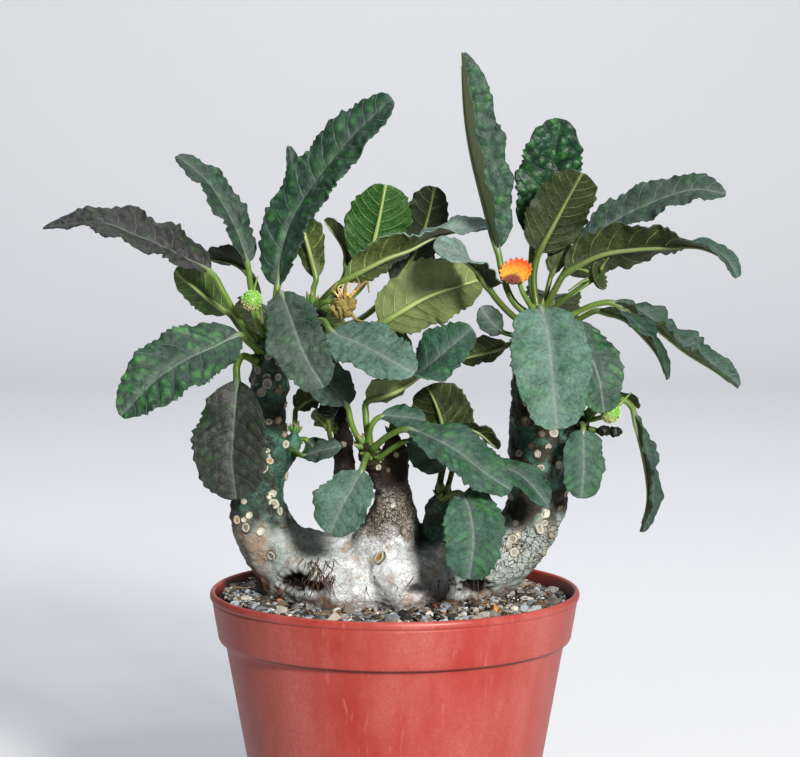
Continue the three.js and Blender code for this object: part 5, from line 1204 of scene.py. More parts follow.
def upper_side(settings):
    """Upper side of a leaf: living tissue under a dull waxy skin, dark green between the veins with
    brighter blotches, grey-lilac bloom in clouds and along the midrib, and a broken gloss from the
    quilting."""
    material, node, shader = new_material("leaf_upper_side", {"Roughness": 0.45, "IOR": 1.42})
    masks = vein_masks(node)
    place = masks["place"]
    purple, frost, blotch = stored(node, "tint")
    # Clouds 8 mm across and a grain of 1 mm that breaks them up
    clouds = node("TexNoise", [place, 125, 8, 0.68])
    grain = node("TexNoise", [place, 1000, 4, 0.7])
    mixed = node("Math", [grain, 0.62, clouds], operation="MULTIPLY_ADD")
    mixed = node("Math", [mixed, 0.085], operation="SUBTRACT")
    depth = node("MapRange", [mixed, 0.5, 0.95])
    # Blotches between the veins
    patches = node("TexNoise", [place, 190, 7, 0.66])
    patch = node("MapRange", [patches, 0.45, 0.6])
    between = node("MapRange", [masks["off_vein"], 0.05, 0.25])
    patch = node("Math", [patch, between], operation="MULTIPLY")
    patch = node("Math", [patch, blotch], operation="MULTIPLY")
    # Soft puckers between the veins, 3 mm across, with painted shade, near black green, in the creases
    # between them
    pucker = node(
        "TexVoronoi", {"Vector": place, "Scale": 340, "Smoothness": 0.35}, feature="SMOOTH_F1",
        give="Distance"
    )
    creased = node("MapRange", [pucker, 0.22, 0.66, 0, 0.62])
    # Bloom: a film in clouds and a haze beside the midrib. It is thicker, paler and more even on the most
    # frosted leaves
    film = node("MapRange", [mixed, 0.92, 0.38, 0, 0.85])
    powder = node("Mix", [purple, settings.frost, "#625E65"], data_type="RGBA")
    hoary = node("MapRange", [frost, 0.9, 1.3, 0, 0.75])
    powder = node("Mix", [hoary, powder, "#84988E"], data_type="RGBA")
    film = node("Math", [hoary, 0.4, film], operation="MULTIPLY_ADD")
    film = node("Math", [film, frost], operation="MULTIPLY", use_clamp=True)
    haze = node("MapRange", [masks["aside"], 2.8, 0.3, 0, 0.36])
    haze = node("Math", [haze, frost], operation="MULTIPLY", use_clamp=True)
    # Veins and midrib: pale where a leaf is frosted; on the leaves without bloom drawn near black, painted
    # shade in the sunken veins
    seen = node("MapRange", [patches, 0.35, 0.6, 0.34, 0.08])
    lines = node("Math", [masks["side_vein"], seen], operation="MULTIPLY")
    rib = node("Math", [masks["rib"], 0.28], operation="MULTIPLY")
    lines = node("Math", [lines, rib], operation="MAXIMUM")
    powdery = node("MapRange", [frost, 0.05, 0.3])
    drawn = node("Mix", [powdery, "#06100A", "#82948A"], data_type="RGBA")
    base = node("Mix", [depth, "#0F211A", settings.upper], data_type="RGBA")
    # The creases, and the sunken veins of the leaves without bloom, take painted shade
    for share, colour in (
        (purple, settings.purple), (patch, settings.blotch), (creased, "#0B1A12"), (film, powder),
        (haze, "#757C7D"), (lines, drawn),
    ):
        base = node("Mix", [share, base, colour], data_type="RGBA")
    dull = node("MapRange", [frost, 0, 1, 0.2, 0.78])
    puffed = node("MapRange", [frost, 0, 1, -2.4, -0.5])
    puffed = node("Math", [puffed, pucker, mixed], operation="MULTIPLY_ADD")
    sunk = node("Math", [masks["side_vein"], -0.35, puffed], operation="MULTIPLY_ADD")
    bump = node("Bump", {"Strength": 0.75, "Distance": 0.0005, "Height": sunk})
    shader({"Base Color": base, "Roughness": dull, "Normal": bump})
    return material


def underside(settings):
    """Underside of a leaf: dull olive tissue, softly downy, with raised pale side veins and a faint net."""
    material, node, shader = new_material("leaf_underside", {"Roughness": 0.58, "IOR": 1.42})
    masks = vein_masks(node)
    place = masks["place"]
    painted_light_level, _, pale = stored(node, "tone")
    clouds = node("TexNoise", [place, 140, 6, 0.66])
    grain = node("TexNoise", [place, 1000, 4, 0.7])
    mixed = node("Math", [grain, 0.4, clouds], operation="MULTIPLY_ADD")
    depth = node("MapRange", [mixed, 0.5, 0.9])
    # The painted light level paints light, a greener underside, above 0 and painted shade, near black, below
    # 0; the veins fade in the painted shade
    lit = node("Math", [painted_light_level, 0.95], operation="MULTIPLY", use_clamp=True)
    dim = node("Math", [painted_light_level, -1.5], operation="MULTIPLY", use_clamp=True)
    fine = node("Math", [masks["net"], 0.13], operation="MULTIPLY")
    # Side veins fade towards the margin and come and go
    seen = node("MapRange", [clouds, 0.4, 0.6, 0.15, 0.95])
    side = node("Math", [masks["side_vein"], seen], operation="MULTIPLY")
    lines = node("Math", [fine, side], operation="MAXIMUM")
    rib = node("Math", [masks["rib"], 0.8], operation="MULTIPLY")
    lines = node("Math", [lines, rib], operation="MAXIMUM")
    bold = node("Math", [dim, -0.65, 1.0], operation="MULTIPLY_ADD")
    lines = node("Math", [lines, bold], operation="MULTIPLY")
    base = node("Mix", [depth, "#2B361A", settings.under], data_type="RGBA")
    # The pale tone is partly the underside's own paleness and partly painted light on undersides that the
    # lamps leave dark
    for share, colour in ((lit, "#1F4C1B"), (dim, "#13200D"), (pale, "#929F74"), (lines, settings.vein)):
        base = node("Mix", [share, base, colour], data_type="RGBA")
    raised = node("Math", [masks["side_vein"], 1.2, mixed], operation="MULTIPLY_ADD")
    bump = node("Bump", {"Strength": 0.55, "Distance": 0.0004, "Height": raised})
    shader({"Base Color": base, "Normal": bump})
    return material


def stalk_skin(settings):
    """Fleshy stalk and midrib: smooth, moist green skin, paler where it runs on as the midrib."""
    material, node, shader = new_material("fleshy_stalk", {"Roughness": 0.36, "IOR": 1.42})
    above, along, _ = stored(node, "blade")
    clouds = node("TexNoise", [node("TexCoord", give="Object"), 260, 5])
    tone = node("Mix", [clouds, "#4F6B2A", settings.petiole], data_type="RGBA")
    pale = node("MapRange", [along, -0.1, 0.3])
    # The midrib of a shaded leaf is darker
    dim = node("MapRange", [stored(node, "tone")["X"], 0, -0.5, 0, 0.6])
    # The same lilac-grey bloom lies on the midrib's upper side as on the blade beside it
    frost = stored(node, "tint")["Y"]
    top = node("MapRange", [above, -0.1, 0.4])
    on_blade = node("MapRange", [along, -0.1, 0.06])
    veil = node("Math", [top, on_blade], operation="MULTIPLY")
    bloom = node("MapRange", [frost, 0, 0.4, 0, 0.85])
    veil = node("Math", [veil, bloom], operation="MULTIPLY")
    for share, colour in ((pale, settings.vein), (dim, "#3F4D22"), (veil, "#65706B")):
        tone = node("Mix", [share, tone, colour], data_type="RGBA")
    bump = node("Bump", {"Strength": 0.25, "Distance": 0.0002, "Height": clouds})
    shader(
        {
            "Base Color": tone, "Subsurface Weight": 0.15, "Subsurface Radius": (0.001, 0.0016, 0.0006),
            "Normal": bump
        }
    )
    return material


def make_scales(bark):
    """Short pointed scales: a pair at the foot of each leaf stalk, and a bud of them at each limb's end."""
    rng = np.random.default_rng(11)
    rows = []
    for leaf in LEAVES:
        stalk = [from_front(p) for p in leaf["stalk"]]
        root, outward = seat_on(leaf["limb"], stalk[0], bark)
        ahead = unit(stalk[1] - root)
        aside = unit(np.cross(ahead, outward)) * 1.3 * petiole_radius(leaf)
        rows += [(root + aside, ahead, 2.4), (root - aside, ahead, 2.4)]
    for limb in LIMBS:
        end, ahead = (way[0] for way in limb_line(limb).walk(1))
        normal, across = cross_frame(ahead, UPWARD)
        for i in range(7):
            lean = math.cos(GOLDEN_ANGLE * i) * normal + math.sin(GOLDEN_ANGLE * i) * across
            rows.append((end + ahead * 2 + lean * 0.35 * i, unit(ahead + 0.16 * i * lean), 4.2 - 0.3 * i))
    parts = []
    share = np.linspace(0, 1, 9)
    for spot, ahead, length in rows:
        foot, outward = (np.array(found) for found in bark.find_nearest(Vector(spot))[:2])
        way = unit(ahead + 0.7 * outward + 0.25 * rng.standard_normal(3))
        length *= rng.uniform(0.75, 1.2)
        line = Spline(
            [foot - 0.5 * outward, foot + 0.45 * length * way, foot + length * unit(way + 0.6 * ahead)]
        )
        radii = length * np.interp(share, (0, 0.3, 0.7, 1), (0.24, 0.3, 0.16, 0.02))
        parts.append(tube(line.at(share), radii, 8))
    points, faces = join_parts(parts)
    # Green and fleshy at the foot, dried to a brown tip
    material, node, shader = new_material("bud_scale", {"Roughness": 0.5, "IOR": 1.42})
    dried = node("MapRange", [stored(node, "along")["X"], 0.5, 0.95])
    shader({"Base Color": node("Mix", [dried, "#557A3E", "#82704F"], data_type="RGBA")})
    along = as_vectors(np.tile(np.repeat(share, 8), len(rows)))
    return mesh_object("bud_scales", points, faces, [material], "leaf_green", along=along)


class DORSTENIA_OT_leaves(bpy.types.Operator):
    """Model every leaf in its own form, with quilting, teeth, waves and veins"""

    bl_idname = "dorstenia.leaves"
    bl_label = "Leaves"

    def execute(self, context):
        settings = context.scene.dorstenia_leaves
        bark = surface_of(bpy.data.objects["bark"])
        materials = [upper_side(settings), underside(settings), stalk_skin(settings)]
        for seed, row in enumerate(LEAVES):
            leaf_mesh(row, seed + 1, bark, materials, settings)
        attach(make_scales(bark), "root")
        return {"FINISHED"}


# Grit

# The stones' kinds: name, how often, then the dark and the pale colour of each
STONES = [
    ("slate", 0.27, "#3A4045", "#99A3AB"),
    ("grey_pumice", 0.27, "#5A5752", "#ACA8A0"),
    ("black_lava", 0.2, "#181716", "#4C4A47"),
    ("brown_loam", 0.16, "#33291F", "#776858"),
    ("white_quartz", 0.06, "#9A9690", "#DDD9D0"),
    ("orange_clay", 0.025, "#7A4A30", "#C08A5E"),
]


def ground(x, y):
    """Height in mm of the fine soil between the stones."""
    r = np.hypot(x, y)
    angle = np.arctan2(y, x)
    swell = 1.1 * np.cos(angle - 0.6) * np.sin(r / 17)
    swell = swell + 0.9 * np.sin(3 * angle + r / 6) * np.cos(r / 9 + 2 * angle)
    return EARTH_LEVEL + 0.6 * swell + 1.8 * smooth(-10, -42, x) - 0.5 * smooth(38, 56, x)


def pebble(rng, subdivisions):
    """An angular pebble about one unit in radius."""
    points, faces = icosphere(subdivisions)
    for _ in range(9):
        flat = unit(rng.standard_normal(3))
        over = np.maximum(points @ flat - rng.uniform(0.42, 0.8), 0)
        points = points - over[:, None] * flat
    return points * 1.25, faces


def scatter(rng, count, smallest, largest, bark):
    """Places and sizes of stones on the soil, clear of the pot's wall and of the plant."""
    found = []
    for _ in range(6 * count):
        size = rng.uniform(smallest, largest) / 2
        r = (WALL_INSIDE - size) * math.sqrt(rng.uniform(0, 1))
        turn = rng.uniform(0, 2 * math.pi)
        x, y = r * math.cos(turn), r * math.sin(turn)
        z = float(ground(x, y)) + rng.uniform(-0.1, 1.0) + 0.25 * size
        near, outward, _, _ = bark.find_nearest(Vector((x, y, z)))
        if (Vector((x, y, z)) - near).dot(outward) >= 0.5 * size:
            found.append((x, y, z, size))
        if len(found) == count:
            break
    return np.array(found)


def lay_stones(settings, bark):
    """The loose stones, one piece for each kind."""
    rng = np.random.default_rng(settings.seed)
    shapes = {n: [pebble(rng, n) for _ in range(14)] for n in (1, 2)}
    chances = np.array([row[1] for row in STONES])
    heap = {row[0]: [] for row in STONES}
    sizes = [(settings.large, 2.8, 4.8, 2), (settings.medium, 1.5, 2.8, 2), (settings.small, 0.7, 1.5, 1)]
    for count, smallest, largest, fine in sizes:
        for x, y, z, size in scatter(rng, count, smallest, largest, bark):
            points, faces = shapes[fine][rng.integers(14)]
            turn = np.array(Matrix.Rotation(rng.uniform(0, 6.3), 3, Vector(rng.standard_normal(3))))
            lying = np.array(Matrix.Rotation(rng.uniform(0, 6.3), 3, "Z"))
            squashed = (points @ turn) * size * rng.uniform((0.95, 0.7, 0.45), (1.35, 1.0, 0.85))
            kind = STONES[rng.choice(len(STONES), p=chances / chances.sum())][0]
            heap[kind].append((squashed @ lying + (x, y, z), faces, rng.uniform()))
    pieces = []
    for kind, _, dark, pale in STONES:
        points, faces = join_parts([stone[:2] for stone in heap[kind]])
        shade = as_vectors(np.concatenate([np.full(len(stone[0]), stone[2]) for stone in heap[kind]]))
        rock = stone_skin(kind, dark, pale)
        pieces.append(mesh_object(kind, points, faces, [rock], "mineral_soil", flat=True, shade=shade))
    return pieces


def stone_skin(kind, dark, pale):
    """Crushed stone: dusty, rough faces, each stone of its own tone, with a fine grain."""
    material, node, shader = new_material(kind, {"Roughness": 0.82})
    own = stored(node, "shade")["X"]
    grain = node("TexNoise", [node("TexCoord", give="Object"), 900, 5, 0.7])
    mixed = node("Math", [grain, 0.8, -0.4], operation="MULTIPLY_ADD")
    mixed = node("Math", [mixed, own], operation="ADD", use_clamp=True)
    tone = node("Mix", [mixed, dark, pale], data_type="RGBA")
    bump = node("Bump", {"Strength": 0.6, "Distance": 0.0003, "Height": grain})
    shader({"Base Color": tone, "Normal": bump})
    return material


def lay_earth(settings):
    """The body of the soil: filled to the pot's wall, with a crumbly top."""
    sides = 180
    # Radius and height of its side and bottom, which the crumbly top comes before
    side = [
        (56.7, 93), (55.6, 86), (55.1, 84.6), (53.7, 82.5), (52.6, 80.4), (45.5, 41.6), (39.1, 4.6),
        (0.02, 4.6)
    ]
    reach = np.concatenate([np.linspace(0, 57.1, 78), [57.4], [row[0] for row in side]])
    angle = np.linspace(0, 2 * math.pi, sides, endpoint=False)
    x, y = reach[:, None] * np.cos(angle), reach[:, None] * np.sin(angle)
    z = ground(x, y)
    spots = np.stack([x, y, z], axis=-1).reshape(-1, 3)
    z += 0.7 * fractal(spots, 2.2, 3).reshape(z.shape)
    z[-len(side) - 1] -= 1.2
    z[-len(side):] = np.array([row[1] for row in side])[:, None]
    points = np.stack([x, y, z], axis=-1).reshape(-1, 3)
    faces = grid_faces(len(reach), sides, closed=True)
    material, node, shader = new_material("peaty_fines", {"Roughness": 0.95})
    crumbs = node("TexNoise", [node("TexCoord", give="Object"), 700, 6, 0.75])
    tone = node("Mix", [crumbs, "#1E1712", settings.earth], data_type="RGBA")
    bump = node("Bump", {"Strength": 1, "Distance": 0.0006, "Height": crumbs})
    shader({"Base Color": tone, "Normal": bump})
    return mesh_object("fine_soil", points, faces, [material], "mineral_soil")


def lay_fibres(bark):
    """Bits of straw and root lying on the stones."""
    rng = np.random.default_rng(3)
    parts = []
    for x, y, z, _ in scatter(rng, 80, 1.0, 1.2, bark):
        turn = rng.uniform(0, math.pi)
        length = rng.uniform(2, 6.5)
        along = np.linspace(-0.5, 0.5, 6)[:, None] * length
        level = along * (math.cos(turn), math.sin(turn), rng.uniform(-0.12, 0.2))
        bent = np.sin(along / length * math.pi) ** 2 * rng.uniform(-0.9, 0.9, 3) * (1, 1, 0.5)
        path = np.array([x, y, z + 1.6]) + level + bent
        if np.hypot(path[:, 0], path[:, 1]).max() < 56:
            parts.append(tube(path, np.full(6, rng.uniform(0.1, 0.28)), 5))
    points, faces = join_parts(parts)
    material, node, shader = new_material("dry_fibre", {"Roughness": 0.85})
    fade = node("TexNoise", [node("TexCoord", give="Object"), 60, 3])
    shader({"Base Color": node("Mix", [fade, "#33241A", "#A58D69"], data_type="RGBA")})
    return mesh_object("straw_bits", points, faces, [material], "mineral_soil")


class DORSTENIA_OT_soil(bpy.types.Operator):
    """Fill the pot with earth and heap loose stones on it, clear of the caudex"""

    bl_idname = "dorstenia.soil"
    bl_label = "Grit"

    def execute(self, context):
        settings = context.scene.dorstenia_soil
        earth = lay_earth(settings)
        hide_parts("soil")
        bark = surface_of(bpy.data.objects["bark"])
        for piece in (earth, lay_fibres(bark), *lay_stones(settings, bark)):
            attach(piece, "root")
        return {"FINISHED"}


# Flower heads

# Which of the skins a part wears, and the fact that marks stalks and horns
GREEN, RIPE, DRY = 0, 1, 2
ON_STALK = -0.5


def fuzzy_part(centre, facing, radius, flat, rng):
    """A head covered in blunt little spikes. Returns parts and how near each point is to a spike's tip."""
    normal, across = cross_frame(facing, UPWARD)
    away, faces = icosphere(4)
    turn = np.stack([across, normal, facing])
    parts, tips = [((away * (0.86 * radius) * (1, 1, flat)) @ turn + centre, faces)], [0]
    count = 330
    for i in range(count):
        height = 1 - 2 * (i + 0.5) / count
        spin = GOLDEN_ANGLE * i
        level = math.sqrt(1 - height**2)
        out = np.array([level * math.cos(spin), level * math.sin(spin), height])
        out = unit(out + 0.12 * rng.standard_normal(3))
        foot = centre + (out * (1, 1, flat) * 0.8 * radius) @ turn
        way = unit((out / (1, 1, flat)) @ turn)
        length = radius * rng.uniform(0.08, 0.18)
        steps = np.array([[0], [0.06 * radius + length * 0.6], [length + 0.06 * radius]])
        parts.append(tube(foot + way * steps, [0.075 * radius, 0.05 * radius, 0.015 * radius], 5))
        tips.append(np.repeat([0, 0.6, 1.0], 5))
    return parts, tips


def disc_part(centre, facing, radius, teeth, cup):
    """A toothed disc of florets on a fleshy back. Returns its points, faces and shares of the radius."""
    normal, across = cross_frame(facing, UPWARD)
    sides = teeth * 8
    angle = np.linspace(0, 2 * math.pi, sides, endpoint=False)
    tooth = np.abs(np.sin(teeth * angle / 2)) ** 1.6
    profile = [
        (0.1, -2.2), (0.24, -2.1), (0.4, -1.5), (0.7, -0.9), (0.92, -0.5), (1.0, 0.1), (1.02, 0.5),
        (0.96, 0.75)
    ]
    profile += [(share, 0.55 - cup * (1 - share)) for share in np.linspace(0.88, 0.03, 14)]
    points, shares = [], []
    for share, lift in profile:
        wide = radius * share * (1 + 0.16 * smooth(0.8, 1.0, share) * (tooth - 0.5))
        spot = across * (wide * np.cos(angle))[:, None] + normal * (wide * np.sin(angle))[:, None]
        florets = 0.3 * fractal(spot + 7 * share, 0.8, 2) * (0 < lift) * (share < 0.9)
        points.append(
            centre + spot + facing * (lift + florets + 0.5 * smooth(0.85, 1, share) * tooth)[:, None]
        )
        shares.append(np.full(sides, share if lift > -0.3 else -share))
    faces = [face[::-1] for face in ring_faces(len(profile), sides)]
    return np.vstack(points), faces, np.concatenate(shares)


def horn_part(start, bend, end, radius):
    """A curved tapering horn."""
    line = Spline([start, bend, end])
    return tube(line.at(np.linspace(0, 1, 10)), radius * np.linspace(1, 0.25, 10), 7)


FLOWERS = [
    dict(name="flower_left_green", kind="fuzzy", limb="leftArm", slot="flower_flesh", size=3.6, flat=1,
         stalk=[(-43.4, 182.6, -5), (-45, 186.4, -8), (-46.2, 190, -9)], head=(-46.5, 193.4, -9),
         face=(0.1, -0.3, 0.9), horns=[[(-45.6, 197.6, -8.6), (-44.6, 201.4, -8)]]),
    dict(name="flower_rear_dry", kind="husk", limb="rear", slot="flower_dry", size=4.2,
         stalk=[(-26.6, 190, 13), (-22.6, 193, 7.4)], head=(-16.6, 192.4, 5.6), face=(0.3, -0.6, 0.7),
         horns=[[(-11.6, 198.4, 6), (-13, 202, 8)], [(-9.4, 199.6, 6), (-8.4, 196, 6)],
                [(-12.6, 187.4, 5), (-9.6, 186.6, 8)], [(-16, 198.4, 5), (-14.6, 200.6, 4)],
                [(-20.4, 196.6, 6), (-18.6, 199.4, 6.4)]]),
    dict(name="flower_inner_star", kind="star", limb="rear", slot="flower_flesh", size=3.2, dark=1.0,
         stalk=[(-18.6, 146.4, 11), (-20.6, 148, 4.6), (-21.6, 153, 0.4)], head=(-21.8, 157.4, -1),
         face=(0, -0.5, 0.85), horns=[]),
    dict(name="flower_right_orange", kind="disc", limb="rightArm", slot="flower_orange", size=5.0,
         stalk=[(44.8, 190, 1.5), (42, 195.4, -1), (40.6, 199, -2)], head=(39.4, 202.6, -2.6),
         face=(-0.2, -0.72, 0.66), horns=[]),
    dict(name="flower_right_green", kind="disc", limb="rightArm", slot="flower_flesh", size=4.4, dark=0.9,
         stalk=[(50, 188.4, 0.5), (56, 194.6, -4), (62.4, 199, -6.5)], head=(66, 201.4, -7),
         face=(0.85, -0.45, 0.3),
         horns=[[(60.6, 199.4, -9), (56.4, 196.6, -10)], [(61, 197.6, -8), (57.4, 194.6, -9)],
                [(61.4, 203.4, -8), (58.6, 203.8, -9.6)], [(68, 205.4, -7.6), (69.6, 207.4, -9)]]),
    dict(name="flower_side_green", kind="fuzzy", limb="sideShoot", slot="flower_flesh", size=3.7, flat=0.78,
         stalk=[(63.6, 154.4, 1), (66.8, 155.4, -1.6)], head=(70.2, 157, -2.6), face=(0.5, -0.7, -0.3),
         horns=[[(74, 160.6, -1), (77, 163.6, 0)]]),
    dict(name="flower_side_dark", kind="dark", limb="sideShoot", slot="flower_flesh", size=2.6, dark=1.0,
         stalk=[(63.6, 151.6, 4), (68.6, 150.6, 3.6)], head=(71.8, 150.8, 3), face=(0.2, -0.8, -0.4),
         horns=[]),
]


def flower_mesh(flower, bark, materials):
    """One flower head on its stalk."""
    rng = np.random.default_rng(len(flower["name"]))
    kind, size = flower["kind"], flower["size"]
    stalk = [from_front(p) for p in flower["stalk"]]
    head = from_front(flower["head"])
    facing = unit(np.array(flower["face"]))
    root, outward = seat_on(flower["limb"], stalk[0], bark)
    line = Spline([root - 0.4 * outward, *stalk[1:], head])
    parts, facts, skins = [], [], []

    def add(points, faces, fact, skin):
        """Take in a part with a fact about its points and its skin."""
        parts.append((points, faces))
        facts.append(np.broadcast_to(fact, len(points)))
        skins.append(np.full(len(faces), skin))

    add(*tube(line.at(np.linspace(0, 1, 24)), 0.8 + 0.2 * np.linspace(1, 0, 24) ** 4, 10), ON_STALK, GREEN)
    for bend, tip in flower["horns"]:
        bend, tip = from_front(bend), from_front(tip)
        horn = horn_part(head + 0.5 * size * unit(bend - head), bend, tip, 0.75)
        add(*horn, ON_STALK, DRY if kind == "husk" else GREEN)
    if kind == "fuzzy":
        for part, tips in zip(*fuzzy_part(head, facing, size, flower["flat"], rng)):
            add(*part, tips, GREEN)
    elif kind == "husk":
        away, faces = icosphere(5)
        up = away[:, 2]
        turn = np.arctan2(away[:, 1], away[:, 0])
        pleats = 0.1 * np.sin(11 * turn + 3 * up) * smooth(0.2, -0.5, up)
        creased = 1 + 0.34 * fractal(away * 5, 2.6, 4) + pleats
        creased = (creased * (1 - 0.45 * smooth(0.1, 0.9, up)))[:, None]
        points = head + away * (0.95 * size, 0.8 * size, size) * creased
        add(points, faces, 0.45 * smooth(0.2, 1, up) + 0.2, DRY)
        for i in range(7):
            way = unit(np.array([0.7 * math.cos(i * 2.4), -0.5, 1 + 0.5 * math.sin(i * 2.4)]))
            start = head + way * 0.7 * size
            bend = start + way * 3.4 + rng.uniform(-1, 1, 3)
            add(*horn_part(start, bend, start + way * 2.4 + rng.uniform(-2.8, 2.8, 3), 0.34), 0.9, DRY)
    elif kind == "dark":
        side = np.cross(facing, (0.1, 0, 1.0))
        away, faces = icosphere(4)
        for shift in (-1, 1):
            points = head + side * (2.1 * shift + 2.4) + away * (2.2, 1.4, 1.7)
            add(points + 0.55 * fractal(points, 1.3, 3)[:, None] * away, faces, -0.9, GREEN)
    else:
        ripe = flower["slot"] == "flower_orange"
        teeth, cup = (6, 1.3) if kind == "star" else (17, 0.5)
        points, faces, share = disc_part(head, facing, size, teeth, cup)
        if ripe:
            # Its lower part has wilted: the colours run out from a point below the middle
            wilted = head + cross_frame(facing, UPWARD)[0] * -0.85 * size
            share = np.where(share > 0, np.linalg.norm(points - wilted, axis=1) / (1.85 * size), share)
        add(points, faces, share, RIPE if ripe else GREEN)
    points, faces = join_parts(parts)
    shade = np.concatenate(facts)
    dark = np.where(shade == ON_STALK, 0.3, 1) * flower.get("dark", 0.0)
    below = smooth(0.1, -0.8, (points - head) @ np.array([0.35, 0, 1]) / size)
    below = below * (shade >= 0) * (kind == "fuzzy")
    piece = mesh_object(
        flower["name"].replace("flower_", "head_"), points, faces, materials, flower["slot"],
        np.concatenate(skins), petal=np.stack([shade, dark, below], axis=-1)
    )
    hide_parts(flower["name"])
    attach(piece, "root")


def flower_skins(settings):
    """Fleshy green tissue with pale spike tips; a ripe head that runs from a red rim over orange and yellow
    to a purplish middle; and brown, papery, dried tissue."""
    skins = []
    for name, roughness in (("green_head", 0.45), ("ripe_head", 0.5), ("dried_head", 0.7)):
        material, node, shader = new_material(name, {"Roughness": roughness, "IOR": 1.42})
        share, dark, below = stored(node, "petal")
        clouds = node("TexNoise", [node("TexCoord", give="Object"), 500, 5])
        if name == "green_head":
            base = node("Mix", [clouds, "#4E8B2C", settings.green], data_type="RGBA")
            pale = node("MapRange", [share, 0.2, 1, 0, 0.7])
            stalk = node("Math", [share, ON_STALK, 0.01], operation="COMPARE")
            worn = node("Math", [below, 0.75], operation="MULTIPLY")
            for factor, code in ((pale, "#C6D5A2"), (stalk, "#647F3C"), (worn, "#A99C78"), (dark, "#131A0F")):
                base = node("Mix", [factor, base, code], data_type="RGBA")
        elif name == "ripe_head":
            ramp = node("ValToRGB", [share])
            stops = ramp.node.color_ramp.elements
            stops[0].position, stops[0].color = 0.1, linear("#33262E")
            stops[1].position, stops[1].color = 0.97, linear("#C4402A")
            for spot, code in ((0.3, "#4A332C"), (0.42, "#C79A36"), (0.62, "#DE8E30"), (0.88, "#CF5C2A")):
                stops.new(spot).color = linear(code)
            base = node("Mix", [0.85, settings.orange, ramp], data_type="RGBA")
        else:
            base = node("Mix", [clouds, "#4B4022", settings.dry], data_type="RGBA")
            straw = node("MapRange", [share, 0.3, 0.8])
            base = node("Mix", [straw, base, "#C9B06A"], data_type="RGBA")
        bump = node("Bump", {"Strength": 0.5, "Distance": 0.0003, "Height": clouds})
        shader({"Base Color": base, "Normal": bump})
        skins.append(material)
    return skins


class DORSTENIA_OT_flowers(bpy.types.Operator):
    """Model each flower head on its stalk"""

    bl_idname = "dorstenia.flowers"
    bl_label = "Flower heads"

    def execute(self, context):
        bark = surface_of(bpy.data.objects["bark"])
        materials = flower_skins(context.scene.dorstenia_flowers)
        for flower in FLOWERS:
            flower_mesh(flower, bark, materials)
        return {"FINISHED"}


# Floor, light and camera


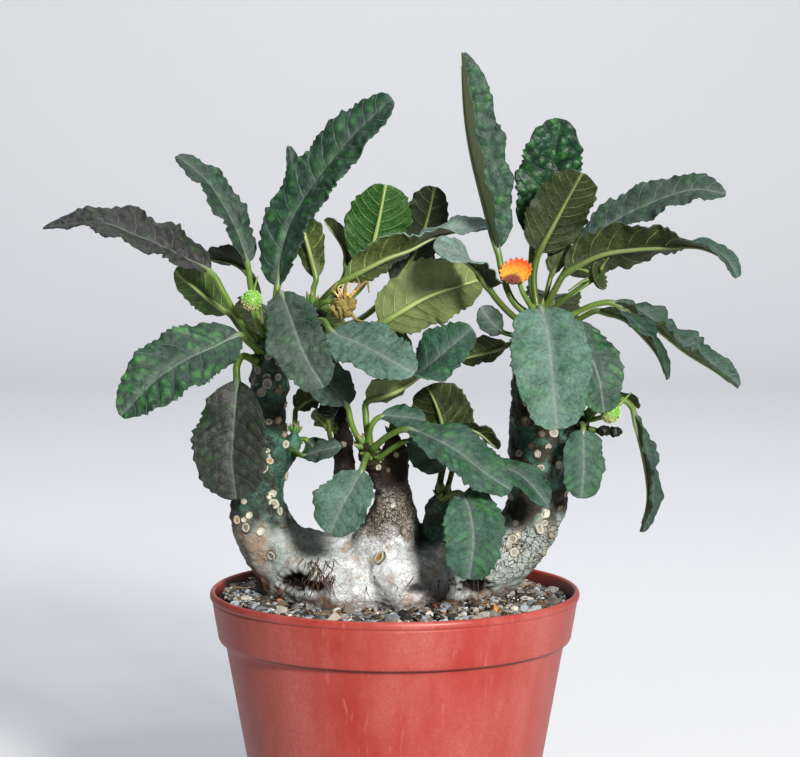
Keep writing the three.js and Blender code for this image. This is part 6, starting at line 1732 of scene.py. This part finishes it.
class DORSTENIA_OT_stage(bpy.types.Operator):
    """Lay the pale floor and set the soft light and the camera"""

    bl_idname = "dorstenia.stage"
    bl_label = "Stage"

    def execute(self, context):
        settings = context.scene.dorstenia_stage
        self.lay_floor(settings)
        self.light(settings)
        camera = bpy.data.cameras.new("camera")
        camera.sensor_width = SENSOR
        camera.lens = LENS
        camera.clip_end = 20
        seen_from = add_object("camera", camera)
        seen_from.location = EYE * MM
        seen_from.rotation_euler = (math.pi / 2 - EYE_PITCH, 0, 0)
        context.scene.camera = seen_from
        context.scene.view_settings.view_transform = "Standard"
        context.scene.view_settings.look = "Medium High Contrast"
        return {"FINISHED"}

    def lay_floor(self, settings):
        """A floor that curves up into the backdrop."""
        material, _, _ = new_material("painted_floor", {"Roughness": 0.8, "Base Color": settings.floor})
        mesh = bpy.data.meshes.new("floor")
        width, front, back, top = 5.0, -5.0, 1.6, 2.6
        bend = [
            (back + 0.6 * math.sin(a), 0.6 - 0.6 * math.cos(a)) for a in np.linspace(0, math.pi / 2, 14)
        ]
        section = [(front, 0.0), *bend, (back + 0.6, top)]
        points = [(x, y, z) for y, z in section for x in (-width, width)]
        mesh.from_pydata(points, [], grid_faces(len(section), 2).tolist())
        mesh.materials.append(material)
        mesh.polygons.foreach_set("use_smooth", [True] * len(mesh.polygons))
        add_object("floor", mesh)

    def light(self, settings):
        """A large soft window on the right and in front, and even light from all round."""
        sky = bpy.data.worlds.new("sky")
        sky.use_nodes = True
        feed(sky.node_tree.nodes["Background"], {"Color": "#EEF1F6", "Strength": settings.fill})
        bpy.context.scene.world = sky
        self.area_light("window", 0.26, settings.key, "#FFFAF3", (0.6, -1.42, 0.84), (0, 0, 0.15))
        self.area_light("backdrop light", 1.6, settings.back, "#F4F7FF", (0, 0.55, 1.7), (0, 1.9, 0.5))

    def area_light(self, name, size, power, code, place, target):
        """A square soft light that looks at a place; metres and watts."""
        lamp = bpy.data.lights.new(name, "AREA")
        lamp.size = size
        lamp.energy = power
        lamp.color = linear(code)[:3]
        light = add_object(name, lamp)
        light.location = place
        light.rotation_euler = (Vector(target) - Vector(place)).to_track_quat("-Z", "Y").to_euler()


class DORSTENIA_PT_panel(bpy.types.Panel):
    """Lists what the plant is built from"""

    bl_idname = "DORSTENIA_PT_panel"
    bl_label = "Dorstenia"
    bl_space_type = "VIEW_3D"
    bl_region_type = "UI"
    bl_category = "Dorstenia"

    def draw(self, context):
        for step in STEPS:
            self.layout.operator(step.bl_idname)


SETTINGS = {
    "dorstenia_pot": PotSettings,
    "dorstenia_soil": SoilSettings,
    "dorstenia_caudex": CaudexSettings,
    "dorstenia_leaves": LeafSettings,
    "dorstenia_flowers": FlowerSettings,
    "dorstenia_stage": StageSettings,
}
STEPS = (
    DORSTENIA_OT_pot,
    DORSTENIA_OT_caudex,
    DORSTENIA_OT_soil,
    DORSTENIA_OT_leaves,
    DORSTENIA_OT_flowers,
    DORSTENIA_OT_stage,
)


def register():
    """Make the settings, the steps and the panel known to Blender."""
    for name, group in SETTINGS.items():
        bpy.utils.register_class(group)
        setattr(bpy.types.Scene, name, PointerProperty(type=group))
    for step in STEPS:
        bpy.utils.register_class(step)
    bpy.utils.register_class(DORSTENIA_PT_panel)


def unregister():
    """Take them away again."""
    bpy.utils.unregister_class(DORSTENIA_PT_panel)
    for step in reversed(STEPS):
        bpy.utils.unregister_class(step)
    for name, group in SETTINGS.items():
        delattr(bpy.types.Scene, name)
        bpy.utils.unregister_class(group)


def main():
    """Make the steps known to Blender and build everything in order."""
    register()
    for step in STEPS:
        group, name = step.bl_idname.split(".")
        getattr(getattr(bpy.ops, group), name)()


if __name__ == "__main__":
    main()
